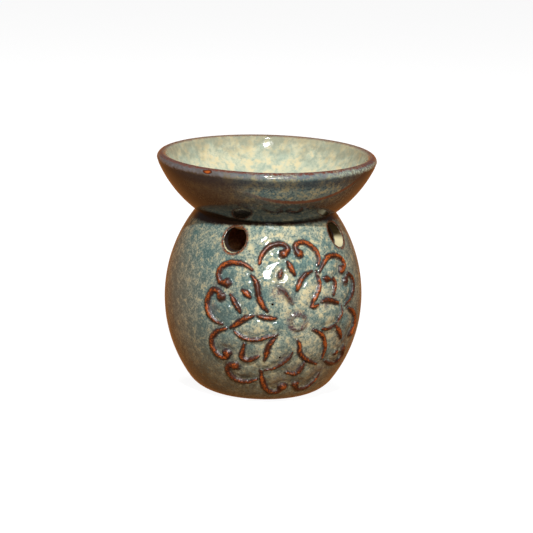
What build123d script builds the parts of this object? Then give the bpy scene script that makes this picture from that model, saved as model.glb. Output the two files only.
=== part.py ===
from build123d import *
import math
import os

# Pot, in millimetres: a round-bellied chamber that stands on its own floor
belly_radius = 45.35
belly_height = 43.0
neck_radius = 31.6
neck_height = 83.3
heel_radius = 33.6
heel_height = 6.0
base_radius = 24.7
pot_wall = 4.5
floor_thickness = 5.0
base_recess_depth = 1.2
base_ring_width = 5.0

# Heat vents, a pair on each side of the flower and a pair behind
vent_radius = 5.3
vent_drop = 7.3
vent_bearing = 42.0
vent_edge_round = 0.7

# Arch at the back, where the tea light goes in
arch_width = 46.0
arch_height = 42.0
arch_edge_round = 0.9

# Oil dish: a round-bottomed bowl luted into the neck of the pot
bowl_wall = 4.8
dish_rise = 26.0
rim_radius = 50.0
lip_band_height = 4.8
lip_overhang = 0.8
crest_round_height = 2.5
inner_round_height = 1.5
crest_inset_share = 0.46

# Raised lines of the flower, which fills the pot's height but for a gap above and below
flower_top_gap = 1.0
flower_bottom_gap = 0.3
petal_reach_share = 0.73
line_width = 2.3
line_rise = 0.85
line_root = 0.5
leaf_line_width = 2.9
drop_radius = 1.9
drop_top_radius = 1.1
drop_rise = 1.0
drop_sides = 10
boss_radius = 4.4
boss_rise = 1.3
line_top_width_share = 0.42
line_tip_width_share = 0.45
line_taper_share = 0.25
curl_end_width_share = 0.8

# Six petals, as bearing round the flower and share of the petal length
petal_shares = (
    (188, 1.00),
    (129, 0.95),
    (69, 0.80),
    (8, 0.81),
    (-56, 0.86),
    (241, 0.90),
)
# One petal line, as share of the petal's length and degrees off its middle
petal_line_shares = (
    (0.36, 24),
    (0.50, 21),
    (0.65, 18),
    (0.80, 12),
    (0.92, 6),
    (0.99, 3),
)
# Six scroll pairs between the petals: bearing, share of the scroll length, side that the leaf is on
scroll_shares = (
    (157, 1.02, -1),
    (93, 0.85, 1),
    (36, 0.90, 1),
    (-26, 0.93, 1),
    (268, 0.90, 1),
    (215, 1.01, -1),
)
# One scroll line, from beside a petal's tip to where it curls under
scroll_line_shares = (
    (0.80, 26.5),
    (0.87, 25.5),
    (0.95, 21.5),
    (0.995, 16),
    (1.00, 10.5),
    (0.975, 6),
    (0.925, 3.6),
)
drop_share = (0.885, 5.3)
leaf_line_shares = ((0.61, 13.5), (0.635, 11), (0.66, 7.5))
vein_line_shares = ((0.745, -0.5), (0.69, -5), (0.60, -9))

# Tea light
candle_radius = 19.0
candle_height = 15.5
cup_wall = 0.4
cup_lip_width = 0.7
cup_lip_height = 0.9
cup_heel_bevel = 1.0
wax_depth = 13.0
wick_radius = 0.8
wick_stand = 9.0
tab_radius = 6.5
tab_thickness = 0.5
collar_radius = 1.6
collar_height = 3.5
candle_seat_gap = 0.3

# One overrun takes every cutter clear of the wall that it cuts
overrun = 10.0
# An edge lies on a surface when it is no further from it than this
surface_reach = 0.01

os.makedirs("parts", exist_ok=True)


def rise_over(radius, half_width):
    """Height from a sphere's middle to the circle of this half width on it."""
    return math.sqrt(radius**2 - half_width**2)


def tangent_arc_radius(run, climb):
    """Radius of an arc that leaves vertically and ends this run inwards and this climb away."""
    return (run**2 + climb**2) / (2 * run)


def middle_height(low, high):
    """Height of the middle of a ball that passes through two level circles, given as radius and height."""
    reach = high[0] ** 2 + high[1] ** 2 - low[0] ** 2 - low[1] ** 2
    return reach / (2 * (high[1] - low[1]))


total_height = neck_height + dish_rise
crease = (neck_radius, neck_height)
lip_edge = (rim_radius - lip_overhang, total_height - lip_band_height)
bowl_centre_height = middle_height(crease, lip_edge)
bowl_radius = math.dist(crease, (0, bowl_centre_height))
scroll_line_length = (neck_height - flower_top_gap - flower_bottom_gap) / 2
petal_line_length = petal_reach_share * scroll_line_length
flower_height = flower_bottom_gap + scroll_line_length
candle_floor = floor_thickness + candle_seat_gap


def pot_outline(inset):
    """Half section of the pot, or of the space inside it at an inset."""
    shoulder_radius = tangent_arc_radius(belly_radius - neck_radius, neck_height - belly_height)
    side_radius = tangent_arc_radius(belly_radius - heel_radius, belly_height - heel_height)
    shoulder_slope = math.asin((neck_height - belly_height) / shoulder_radius)
    heel_slope = math.asin((belly_height - heel_height) / side_radius)
    belly = (belly_radius - inset, belly_height)
    neck = (
        neck_radius - inset * math.cos(shoulder_slope),
        neck_height - inset * math.sin(shoulder_slope),
    )
    heel = (
        heel_radius - inset * math.cos(heel_slope),
        heel_height + inset * math.sin(heel_slope),
    )
    foot = (base_radius, inset)
    with BuildSketch(Plane.XZ) as section:
        with BuildLine():
            Line((0, inset), foot)
            side = TangentArc(belly, heel, tangent=(0, -1))
            TangentArc(heel, foot, tangent=side % 1)
            TangentArc(belly, neck, tangent=(0, 1))
            Polyline(neck, (0, neck[1]), (0, inset))
        make_face()
    return section.sketch


def make_bowl_ball(radius):
    """Ball that the bowl is part of."""
    return Pos(0, 0, bowl_centre_height) * Sphere(radius)


def make_chamber():
    """Hollow of the pot above its floor."""
    hollow = revolve(pot_outline(pot_wall), Axis.Z)
    below_floor = Cylinder(
        belly_radius + overrun,
        floor_thickness + overrun,
        align=(Align.CENTER, Align.CENTER, Align.MAX),
    )
    return hollow - Pos(0, 0, floor_thickness) * below_floor


def make_arch_cutter():
    """Round-headed opening through the back wall, level with the floor."""
    spring_height = arch_height - arch_width / 2
    with BuildSketch(Plane.XZ) as outline:
        with Locations((0, floor_thickness)):
            Rectangle(arch_width, spring_height, align=(Align.CENTER, Align.MIN))
        with Locations((0, floor_thickness + spring_height)):
            Circle(arch_width / 2)
        with Locations((0, floor_thickness)):
            Rectangle(
                arch_width + overrun,
                arch_width,
                align=(Align.CENTER, Align.MAX),
                mode=Mode.SUBTRACT,
            )
    return extrude(outline.sketch, amount=-(belly_radius + overrun))


def make_vent_cutter(bearing):
    """Round hole that leaves the chamber level, at a bearing from the flower's side."""
    length = belly_radius + overrun
    bore = Cylinder(vent_radius, length, align=(Align.CENTER, Align.CENTER, Align.MIN))
    level = Pos(0, 0, neck_height - vent_drop) * Rot(0, 0, bearing) * Rot(90, 0, 0)
    return level * bore


def make_base_recess():
    """Shallow hollow under the floor, so the pot stands on a ring."""
    return Cylinder(
        base_radius - base_ring_width,
        base_recess_depth,
        align=(Align.CENTER, Align.CENTER, Align.MIN),
    )


def lies_on(edge, solid):
    """Whether an edge's middle is on a solid's surface."""
    return solid.shell().distance_to(Vertex(edge @ 0.5)) < surface_reach


def cut_opening(body, cutter, outer, edge_round):
    """Body with one opening cut, whose edge on the outside is rounded."""
    cut = body - cutter
    mouth = [edge for edge in cut.edges() if lies_on(edge, outer) and lies_on(edge, cutter)]
    return fillet(mouth, edge_round)


def make_burner_body(outer):
    """Pot with its chamber, arch and vents, and its mouth ground to the bowl."""
    body = outer - make_chamber()
    body = cut_opening(body, make_arch_cutter(), outer, arch_edge_round)
    for side in (-1, 1):
        for bearing in (vent_bearing, 180 - vent_bearing):
            body = cut_opening(body, make_vent_cutter(side * bearing), outer, vent_edge_round)
    return body - make_base_recess() - make_bowl_ball(bowl_radius)


def make_oil_dish():
    """Bowl with a rounded lip, from the round bottom in the neck to the crest."""
    inner_radius = bowl_radius - bowl_wall
    inner_edge_height = total_height - inner_round_height
    inner_edge_radius = rise_over(inner_radius, bowl_centre_height - inner_edge_height)
    crest_inset = crest_inset_share * (rim_radius - inner_edge_radius)
    bottom = (0, bowl_centre_height - bowl_radius)
    widest = (rim_radius, total_height - crest_round_height)
    crest = (rim_radius - crest_inset, total_height)
    inner_edge = (inner_edge_radius, inner_edge_height)
    inner_bottom = (0, bowl_centre_height - inner_radius)
    with BuildSketch(Plane.XZ) as section:
        with BuildLine():
            TangentArc(bottom, lip_edge, tangent=(1, 0))
            Line(lip_edge, widest)
            crown = TangentArc(widest, crest, tangent=(0, 1))
            TangentArc(crest, inner_edge, tangent=crown % 1)
            TangentArc(inner_bottom, inner_edge, tangent=(1, 0))
            Line(inner_bottom, bottom)
        make_face()
    return revolve(section.sketch, Axis.Z)


def on_pot(reach, bearing, outer):
    """Point on the pot, and the way out of it, this far round from the flower's middle."""
    turn = math.radians(bearing)
    swing = reach / belly_radius
    across = math.sin(swing) * math.cos(turn)
    up = math.sin(swing) * math.sin(turn)
    heading = Axis((0, 0, flower_height), (across, -math.cos(swing), up))
    crossings = outer.shell().find_intersection_points(heading)
    place, outward = max(crossings, key=lambda crossing: crossing[0].dot(heading.direction))
    return place, outward


def make_line(places, width, outer, end_share=line_tip_width_share, ruled=False):
    """Raised line through places on the pot, bevelled, and drawn thin at its ends."""
    spots = [on_pot(reach, bearing, outer) for reach, bearing in places]
    last = len(spots) - 1
    sections = []
    for index, (place, outward) in enumerate(spots):
        before = spots[max(index - 1, 0)][0]
        after = spots[min(index + 1, last)][0]
        along = (after - before).normalized()
        travelled = index / last
        start_share = line_tip_width_share + (1 - line_tip_width_share) * travelled / line_taper_share
        close_share = end_share + (1 - end_share) * (1 - travelled) / line_taper_share
        fullness = min(1, start_share, close_share)
        half = width / 2 * fullness
        rise = line_rise * math.sqrt(fullness)
        section_plane = Plane(origin=place, x_dir=along.cross(outward), z_dir=along * -1)
        sections.append(
            section_plane
            * Polygon(
                (-half, -line_root),
                (half, -line_root),
                (half * line_top_width_share, rise),
                (-half * line_top_width_share, rise),
                align=None,
            )
        )
    return loft(sections, ruled=ruled) - outer


def make_drop(place, outward, outer):
    """Bevelled drop that closes a curl."""
    root = Plane(origin=place - outward * line_root, z_dir=outward)
    top = Plane(origin=place + outward * drop_rise, z_dir=outward)
    sections = [
        root * RegularPolygon(drop_radius, drop_sides),
        top * RegularPolygon(drop_top_radius, drop_sides),
    ]
    return loft(sections, ruled=True) - outer


def make_petal(bearing, reach, outer):
    """The two lines that outline one petal."""
    lines = []
    for side in (-1, 1):
        places = [(share * reach, bearing + side * spread) for share, spread in petal_line_shares]
        lines.append(make_line(places, line_width, outer))
    return lines


def make_scroll(bearing, reach, outer):
    """The two lines of one scroll pair, each curled under and closed with a drop."""
    lines = []
    for side in (-1, 1):
        places = [(share * reach, bearing + side * spread) for share, spread in scroll_line_shares]
        hook = make_line(places, line_width, outer, curl_end_width_share)
        place, outward = on_pot(drop_share[0] * reach, bearing + side * drop_share[1], outer)
        lines += [hook, make_drop(place, outward, outer) - hook]
    return lines


def make_leaf_marks(bearing, reach, side, outer):
    """A short broad leaf and a longer vein inside one scroll pair."""
    leaf = [(share * reach, bearing + side * spread) for share, spread in leaf_line_shares]
    vein = [(share * reach, bearing + side * spread) for share, spread in vein_line_shares]
    return [
        make_line(leaf, leaf_line_width, outer, ruled=True),
        make_line(vein, line_width, outer, ruled=True),
    ]


def make_flower_boss(outer):
    """Low dome at the flower's middle."""
    place, outward = on_pot(0, 0, outer)
    ball_radius = tangent_arc_radius(boss_rise, boss_radius)
    return Pos(place + outward * (boss_rise - ball_radius)) * Sphere(ball_radius) - outer


def make_cup_hollow():
    """Space inside the tea light's cup."""
    radius = candle_radius - cup_wall
    hollow = Cylinder(radius, candle_height, align=(Align.CENTER, Align.CENTER, Align.MIN))
    hollow = chamfer(hollow.edges().sort_by(Axis.Z)[0], cup_heel_bevel)
    return Pos(0, 0, candle_floor + cup_wall) * hollow


def make_tea_light_cup():
    """Thin cup with a turned-out lip round its mouth."""
    base = (Align.CENTER, Align.CENTER, Align.MIN)
    shell = Cylinder(candle_radius, candle_height, align=base)
    shell = chamfer(shell.edges().sort_by(Axis.Z)[0], cup_heel_bevel)
    lip = Pos(0, 0, candle_height - cup_lip_height) * Cylinder(
        candle_radius + cup_lip_width, cup_lip_height, align=base
    )
    return Pos(0, 0, candle_floor) * (shell + lip) - make_cup_hollow()


def make_wick_sustainer():
    """Round tab on the cup's floor, with a collar that grips the wick."""
    base = (Align.CENTER, Align.CENTER, Align.MIN)
    tab = Cylinder(tab_radius, tab_thickness, align=base)
    collar = Cylinder(collar_radius, collar_height, align=base)
    grip = Pos(0, 0, tab_thickness) * Cylinder(wick_radius, collar_height, align=base)
    return Pos(0, 0, candle_floor + cup_wall) * (tab + collar - grip)


def make_wick():
    """Wick from the tab to above the wax."""
    length = wax_depth - tab_thickness + wick_stand
    wick = Cylinder(wick_radius, length, align=(Align.CENTER, Align.CENTER, Align.MIN))
    return Pos(0, 0, candle_floor + cup_wall + tab_thickness) * wick


def make_wax(sustainer, wick):
    """Wax cast round the wick and its tab, up to its level in the cup."""
    above_level = Pos(0, 0, candle_floor + cup_wall + wax_depth) * Cylinder(
        candle_radius, candle_height, align=(Align.CENTER, Align.CENTER, Align.MIN)
    )
    return make_cup_hollow() - above_level - sustainer - wick


def write_node(name, shape):
    """Writes one node, whose solids stay apart when it is a list."""
    if isinstance(shape, list):
        shape = Compound(children=[solid for item in shape for solid in item.solids()])
    shape.label = name
    export_step(shape, os.path.join("parts", name + ".step"))


pot_outer = revolve(pot_outline(0), Axis.Z)
write_node("burner_body", make_burner_body(pot_outer))
write_node("oil_dish", make_oil_dish())
write_node("flower_boss", make_flower_boss(pot_outer))

for number, (bearing, length_share) in enumerate(petal_shares, 1):
    petal = make_petal(bearing, length_share * petal_line_length, pot_outer)
    write_node(f"petal_lines_{number}", petal)

for number, (bearing, length_share, leaf_side) in enumerate(scroll_shares, 1):
    scroll_reach = length_share * scroll_line_length
    write_node(f"scroll_lines_{number}", make_scroll(bearing, scroll_reach, pot_outer))
    marks = make_leaf_marks(bearing, scroll_reach, leaf_side, pot_outer)
    write_node(f"leaf_marks_{number}", marks)

wick_sustainer = make_wick_sustainer()
tea_light_wick = make_wick()
write_node("tea_light_cup", make_tea_light_cup())
write_node("wick_sustainer", wick_sustainer)
write_node("tea_light_wick", tea_light_wick)
write_node("tea_light_wax", make_wax(wick_sustainer, tea_light_wick))
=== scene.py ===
import logging
import math
from dataclasses import dataclass
from enum import Enum
from typing import Any

import bmesh
import bpy
import numpy as np
from mathutils import Matrix, Quaternion, Vector


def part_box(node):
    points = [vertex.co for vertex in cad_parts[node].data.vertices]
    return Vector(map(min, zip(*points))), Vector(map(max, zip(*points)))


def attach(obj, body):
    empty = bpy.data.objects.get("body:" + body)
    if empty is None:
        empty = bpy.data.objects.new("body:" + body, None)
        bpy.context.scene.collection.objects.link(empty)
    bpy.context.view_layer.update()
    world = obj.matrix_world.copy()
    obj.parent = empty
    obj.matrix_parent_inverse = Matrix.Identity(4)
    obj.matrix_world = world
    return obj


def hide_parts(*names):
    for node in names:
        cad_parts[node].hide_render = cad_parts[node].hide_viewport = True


# Sizes are in millimetres, and each mesh is made in metres
MM = 0.001
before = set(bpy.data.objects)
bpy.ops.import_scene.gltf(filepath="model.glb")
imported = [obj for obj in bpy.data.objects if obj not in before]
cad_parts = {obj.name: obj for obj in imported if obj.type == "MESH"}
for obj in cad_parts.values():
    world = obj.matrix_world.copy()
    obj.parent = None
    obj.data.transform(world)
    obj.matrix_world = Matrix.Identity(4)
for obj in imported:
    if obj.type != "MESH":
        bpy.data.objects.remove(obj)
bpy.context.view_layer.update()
PHOTO_PIXELS = 533

log = logging.getLogger("burner")
Point = tuple[float, float]
Span = tuple[float, float]
Fade = tuple[float, float, float, float]
Place = tuple[float, float, float]
Colour = tuple[float, float, float, float]
Faces = list[tuple[int, ...]]
Socket = bpy.types.NodeSocket


def tint(red: float, green: float, blue: float) -> Colour:
    """Colour as it looks on a screen, turned into light.

    Args:
        red: Share of red as displayed, from 0 to 1.
        green: Share of green as displayed.
        blue: Share of blue as displayed.

    Returns:
        The same colour in linear light, with full alpha.
    """
    knee, slope, lift, power = 0.04045, 12.92, 0.055, 2.4
    linear = [
        share / slope if share <= knee else ((share + lift) / (1 + lift)) ** power
        for share in (red, green, blue)
    ]
    return (linear[0], linear[1], linear[2], 1.0)


def unit(vector: np.ndarray) -> np.ndarray:
    """Same direction, with a length of one."""
    return vector / np.linalg.norm(vector)


def tangent_arc(start: Point, heading: Point, end: Point, steps: int = 60) -> tuple[list[Point], Point]:
    """Arc that leaves a point along a heading and ends at another point.

    Args:
        start: First point of the arc.
        heading: Direction in which the arc leaves.
        end: Last point of the arc.
        steps: Number of steps along the arc.

    Returns:
        The points after the first, and the heading at the end.
    """
    across = np.subtract(end, start)
    way = unit(np.array(heading, float))
    side = np.array((-way[1], way[0]))
    if side @ across < 0:
        side = -side
    radius = (across @ across) / (2 * (side @ across))
    middle = np.add(start, side * radius)
    first = np.subtract(start, middle)
    last = np.subtract(end, middle)
    sweep = math.atan2(first[0] * last[1] - first[1] * last[0], first @ last)
    points = []
    for step in range(1, steps + 1):
        turn = sweep * step / steps
        spin = np.array(((math.cos(turn), -math.sin(turn)), (math.sin(turn), math.cos(turn))))
        points.append(tuple(middle + spin @ first))
    turned = np.array((-last[1], last[0])) * math.copysign(1, sweep)
    return points, tuple(unit(turned))


def respaced(points: list[Point], spacing: float) -> list[Point]:
    """Points along the same line at an even spacing.

    Args:
        points: The line's points.
        spacing: Distance wanted between neighbours.

    Returns:
        New points, with both ends kept.
    """
    line = np.array(points, float)
    along = np.concatenate(([0], np.cumsum(np.hypot(*np.diff(line, axis=0).T))))
    count = max(2, round(along[-1] / spacing) + 1)
    wanted = np.linspace(0, along[-1], count)
    return list(zip(np.interp(wanted, along, line[:, 0]), np.interp(wanted, along, line[:, 1])))


def smooth_path(places: np.ndarray, steps: int) -> np.ndarray:
    """Smooth line through places, as a Catmull-Rom spline.

    Args:
        places: The places to pass through, one to a row.
        steps: Number of steps between two places.

    Returns:
        Points along the smooth line, one to a row.
    """
    padded = np.vstack((2 * places[0] - places[1], places, 2 * places[-1] - places[-2]))
    points = []
    for before, start, end, after in zip(padded, padded[1:], padded[2:], padded[3:]):
        for step in range(steps):
            t = step / steps
            points.append(
                0.5
                * (
                    2 * start
                    + (end - before) * t
                    + (2 * before - 5 * start + 4 * end - after) * t**2
                    + (3 * start - before - 3 * end + after) * t**3
                )
            )
    points.append(places[-1])
    return np.array(points)


def smooth_step(values: np.ndarray, low: float, high: float) -> np.ndarray:
    """Soft step of values, from 0 at low to 1 at high."""
    share = np.clip((values - low) / (high - low), 0, 1)
    return share * share * (3 - 2 * share)


def scene_object(name: str, data: Any) -> bpy.types.Object:
    """New object in the scene.

    Args:
        name: Name of the object.
        data: The mesh, lamp or camera that it holds.

    Returns:
        The object, at the origin.
    """
    made = bpy.data.objects.new(name, data)
    bpy.context.scene.collection.objects.link(made)
    return made


def mesh_object(name: str, points: np.ndarray, faces: Faces) -> bpy.types.Object:
    """New smooth-shaded object in the scene.

    Args:
        name: Name of the object and of its mesh.
        points: Its points in millimetres, one to a row.
        faces: Its faces, as the numbers of their points.

    Returns:
        The object, at the origin, in metres.
    """
    mesh = bpy.data.meshes.new(name)
    mesh.from_pydata((np.asarray(points) * MM).tolist(), [], faces)
    mesh.validate()
    mesh.shade_smooth()
    return scene_object(name, mesh)


def object_points(made: bpy.types.Object) -> np.ndarray:
    """Points of an object.

    Args:
        made: The object.

    Returns:
        Its points in millimetres, one to a row.
    """
    flat = np.empty(3 * len(made.data.vertices))
    made.data.vertices.foreach_get("co", flat)
    return flat.reshape(-1, 3) / MM


def point_values(made: bpy.types.Object, name: str, values: np.ndarray) -> None:
    """Keeps one number for each point of an object, for its material or its nodes."""
    attribute = made.data.attributes.new(name, "FLOAT", "POINT")
    attribute.data.foreach_set("value", np.asarray(values, np.float32))


def full_turn(count: int) -> np.ndarray:
    """Bearings of this many columns in radians, evenly round."""
    return np.linspace(0, 2 * math.pi, count, endpoint=False)


def turned_solid(outline: list[Point], bearings: np.ndarray) -> tuple[np.ndarray, Faces]:
    """Points and faces of an outline turned about the upright axis.

    Args:
        outline: Radius and height of each point, from the axis round to the axis again.
        bearings: The bearings of its columns in radians, from the flower's side.

    Returns:
        The points in millimetres and the faces, which point outwards.
    """
    columns = len(bearings)
    points = [(0.0, 0.0, outline[0][1])]
    for radius, height in outline[1:-1]:
        ring = (radius * np.sin(bearings), -radius * np.cos(bearings), np.full(columns, height))
        points += list(zip(*ring))
    points.append((0.0, 0.0, outline[-1][1]))
    top = len(points) - 1
    last_ring = top - columns
    faces = []
    for column in range(columns):
        beside = (column + 1) % columns
        faces.append((0, 1 + beside, 1 + column))
        faces.append((top, last_ring + column, last_ring + beside))
        for ring_start in range(1, last_ring, columns):
            low, low_beside = ring_start + column, ring_start + beside
            faces.append((low, low_beside, low_beside + columns, low + columns))
    return np.array(points), faces


def baked(made: bpy.types.Object) -> bpy.types.Object:
    """Turns what an object's modifiers make into its own plain mesh.

    Args:
        made: The object, whose modifiers are taken off.

    Returns:
        The same object.
    """
    graph = bpy.context.evaluated_depsgraph_get()
    plain = bpy.data.meshes.new_from_object(made.evaluated_get(graph), depsgraph=graph)
    made.modifiers.clear()
    made.data = plain
    return made


class Zone(Enum):
    """Surface that a stretch of the pot's outline belongs to."""

    UNDERSIDE = "underside"
    OUTSIDE = "outside"
    MOUTH = "mouth"
    CHAMBER = "chamber"


class Ending(Enum):
    """How a clay line ends."""

    POINTED = "pointed"
    BLUNT = "blunt"
    DROP = "drop"


@dataclass(frozen=True)
class ClayLine:
    """One raised line of the flower, as reach from its middle and bearing round it."""

    places: tuple[Point, ...]
    half_width: float = 1.15
    ending: Ending = Ending.POINTED
    bareness: float = 1.0
    rise: float = 1.0


class Nodes:
    """Lays out the nodes of one tree."""

    def __init__(self, tree: bpy.types.NodeTree) -> None:
        """Starts with an empty tree."""
        self.tree = tree
        self.tree.nodes.clear()

    def join(self, socket: Socket, value: Any) -> None:
        """Links a node's input to an output, or sets it to a plain value.

        Args:
            socket: The input.
            value: The output or the plain value, or nothing where the input stays as it is.
        """
        if isinstance(value, bpy.types.NodeSocket):
            self.tree.links.new(value, socket)
        elif value is not None:
            socket.default_value = value

    def node(self, kind: str, inputs: dict[Any, Any], **settings: Any) -> bpy.types.Node:
        """Adds one node.

        Args:
            kind: Kind of the node.
            inputs: What goes into its inputs, by their names or numbers.
            settings: Its settings by name.

        Returns:
            The node.
        """
        made = self.tree.nodes.new(kind)
        for name, value in settings.items():
            setattr(made, name, value)
        for key, value in inputs.items():
            self.join(made.inputs[key], value)
        return made

    def math(self, operation: str, *values: Any) -> Socket:
        """Result of one sum on outputs or numbers."""
        return self.node("ShaderNodeMath", dict(enumerate(values)), operation=operation).outputs[0]

    def times(self, first: Any, second: Any) -> Socket:
        """Product of two values."""
        return self.math("MULTIPLY", first, second)

    def total(self, base: Any, *parts: tuple[Any, Any]) -> Socket:
        """Base plus a share of each of some values.

        Args:
            base: What the sum starts from.
            parts: Each value and its share.

        Returns:
            The sum.
        """
        for value, share in parts:
            base = self.math("MULTIPLY_ADD", value, share, base)
        return base

    def step(self, value: Any, low: Any, high: Any, start: float = 0.0, end: float = 1.0) -> Socket:
        """Soft step of a value, from start at low to end at high."""
        given = dict(enumerate((value, low, high, start, end)))
        return self.node("ShaderNodeMapRange", given, interpolation_type="SMOOTHSTEP").outputs[0]

    def band(self, value: Any, rise: Span, fall: Span) -> Socket:
        """One where a value is between its rise and its fall, and nothing elsewhere."""
        return self.math("SUBTRACT", self.step(value, *rise), self.step(value, *fall))

    def seen(self) -> Socket:
        """Whether a ray shows its surface to the camera, also off gloss or through glass.

        Returns:
            One for such a ray, and nothing for others.
        """
        rays = self.node("ShaderNodeLightPath", {}).outputs
        shown = self.math("MAXIMUM", rays["Is Camera Ray"], rays["Is Glossy Ray"])
        return self.math("MAXIMUM", shown, rays["Is Transmission Ray"])


class Sheet(Nodes):
    """Lays out the nodes of one material."""

    def __init__(self, name: str) -> None:
        """Starts a material with nothing in it.

        Args:
            name: Name of the material.
        """
        self.material = bpy.data.materials.new(name)
        self.material.use_nodes = True
        super().__init__(self.material.node_tree)
        self.places = self.node("ShaderNodeTexCoord", {}).outputs["Object"]

    def noise(self, size: float, detail: float = 2.0, roughness: float = 0.5, twist: float = 0.0) -> Socket:
        """Noise in the object's own space.

        Args:
            size: How many millimetres its blots are across, about.
            detail: Number of finer layers.
            roughness: Strength of the finer layers.
            twist: How much it is twisted.

        Returns:
            The noise, from 0 to 1.
        """
        given = {"Scale": 1 / (size * MM), "Detail": detail, "Roughness": roughness, "Distortion": twist}
        return self.node("ShaderNodeTexNoise", {"Vector": self.places, **given}).outputs["Fac"]

    def cells(self, size: float) -> Socket:
        """Distance from the middle of cells that are about this many millimetres across."""
        given = {"Vector": self.places, "Scale": 1 / (size * MM)}
        return self.node("ShaderNodeTexVoronoi", given).outputs["Distance"]

    def value(self, name: str) -> Socket:
        """Number that the mesh keeps for each of its points."""
        return self.node("ShaderNodeAttribute", {}, attribute_name=name).outputs["Fac"]

    def along(self, axis: str) -> Socket:
        """Place along one of the object's axes in millimetres."""
        place = self.node("ShaderNodeSeparateXYZ", {0: self.places}).outputs[axis]
        return self.math("DIVIDE", place, MM)

    def spot(self, place: Place, stretch: Place) -> Socket:
        """Distance from the middle of a spot.

        Args:
            place: Middle of the spot.
            stretch: How far the spot reaches along each axis.

        Returns:
            The distance as a share of the reach.
        """
        location, scale = (tuple(MM * value for value in given) for given in (place, stretch))
        given = {"Vector": self.places, "Location": location, "Scale": scale}
        offset = self.node("ShaderNodeMapping", given, vector_type="TEXTURE").outputs[0]
        return self.node("ShaderNodeVectorMath", {0: offset}, operation="LENGTH").outputs["Value"]

    def ramp(self, share: Any, first: Colour, last: Colour, ends: Span = (0.3, 0.7)) -> Socket:
        """Colour that runs evenly from one to another.

        Args:
            share: How far it has run.
            first: The first colour.
            last: The last colour.
            ends: The shares at which the run starts and ends.

        Returns:
            The colour.
        """
        made = self.node("ShaderNodeValToRGB", {0: share})
        for element, place, colour in zip(made.color_ramp.elements, ends, (first, last)):
            element.position = place
            element.color = colour
        return made.outputs["Color"]

    def mix(self, share: Any, first: Any, second: Any) -> Socket:
        """First colour, with this share of the second laid over it."""
        return self.node("ShaderNodeMix", {0: share, 6: first, 7: second}, data_type="RGBA").outputs[2]

    def bump(self, height: Any, depth: float, under: Any = None) -> Socket:
        """Bent normal of a surface that rises by this many millimetres where the height is one."""
        given = {"Height": height, "Distance": depth * MM, "Normal": under}
        return self.node("ShaderNodeBump", given).outputs["Normal"]

    def closed(self, surface: Socket) -> bpy.types.Material:
        """The material, with this as its surface."""
        self.node("ShaderNodeOutputMaterial", {"Surface": surface})
        return self.material

    def glossy(self, **inputs: Any) -> bpy.types.Material:
        """The material, closed with one glossy shader.

        Args:
            inputs: The shader's inputs by name, with an underscore for each space.

        Returns:
            The material.
        """
        given = {name.replace("_", " "): value for name, value in inputs.items()}
        return self.closed(self.node("ShaderNodeBsdfPrincipled", given).outputs[0])


@dataclass(frozen=True)
class ReactiveGlaze:
    """Speckled glaze that breaks from teal to cream, and to rust where it is thin."""

    deep: Colour = tint(0.21, 0.30, 0.31)
    teal: Colour = tint(0.38, 0.48, 0.46)
    pale: Colour = tint(0.64, 0.66, 0.58)
    cream: Colour = tint(0.82, 0.76, 0.58)
    rust: Colour = tint(0.62, 0.31, 0.12)
    dark_rust: Colour = tint(0.23, 0.11, 0.07)
    pit_black: Colour = tint(0.05, 0.04, 0.03)
    patch_size: float = 9.0
    mottle_size: float = 2.4
    speckle_size: float = 0.8
    breakup_size: float = 1.3
    pale_lift: float = 0.0
    depth_shares: Place = (1.0, 0.6, 0.6)
    cloud_shares: Span = (0.35, 0.25)
    dark_share: float = 0.4
    pale_break: Span = (0.34, 0.84)
    cream_break: Span = (0.76, 1.0)
    cream_share: float = 0.62
    speckle_break: Span = (0.72, 0.52)
    speckle_share: float = 0.56
    pit_edge: Span = (0.035, 0.055)
    pit_rarity: Span = (0.58, 0.60)
    gloss_break: Span = (0.3, 0.8)
    gloss_roughness: float = 0.045

    def body_colour(self, sheet: Sheet, lift: Any = 0.0) -> Socket:
        """Mottled ground colour of the glaze.

        Args:
            sheet: The material's nodes.
            lift: How much paler the glaze is, from place to place.

        Returns:
            The colour.
        """
        lift = sheet.math("ADD", lift, self.pale_lift)
        patches = sheet.noise(self.patch_size, 2.0, 0.6, 0.3)
        mottles = sheet.noise(self.mottle_size, 2.0, 0.6)
        flecks = sheet.noise(self.speckle_size, 2.0, 0.7)
        depth = sheet.math("SUBTRACT", lift, 0.5)
        depth = sheet.total(depth, *zip((patches, mottles, flecks), self.depth_shares))
        colour = sheet.mix(sheet.step(depth, *self.pale_break), self.teal, self.pale)
        cloud = sheet.total(mottles, *zip((flecks, patches), self.cloud_shares))
        blotch = sheet.step(sheet.math("ADD", cloud, lift), *self.cream_break, 0.0, self.cream_share)
        colour = sheet.mix(blotch, colour, self.cream)
        dark = sheet.total(sheet.math("ADD", flecks, lift), (mottles, self.dark_share))
        speckled = sheet.step(dark, *self.speckle_break, 0.0, self.speckle_share)
        return sheet.mix(speckled, colour, self.deep)

    def breakup(self, sheet: Sheet) -> Socket:
        """Fine noise that breaks up the edges of the glaze's colours."""
        return sheet.noise(self.breakup_size, 2.0, 0.6)

    def gloss(self, sheet: Sheet, breakup: Socket) -> Socket:
        """Roughness of the glaze, a little less even than glass."""
        return sheet.step(breakup, *self.gloss_break, self.gloss_roughness, 2 * self.gloss_roughness)

    def pits(self, sheet: Sheet, spacing: float) -> Socket:
        """Rare round pinholes.

        Args:
            sheet: The material's nodes.
            spacing: Distance between the places where one may be.

        Returns:
            One in a pinhole, and nothing elsewhere.
        """
        hole = sheet.step(sheet.cells(spacing), *self.pit_edge, 1.0, 0.0)
        rare = sheet.step(sheet.noise(3 * spacing, 0.0), *self.pit_rarity)
        return sheet.times(hole, rare)


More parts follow.
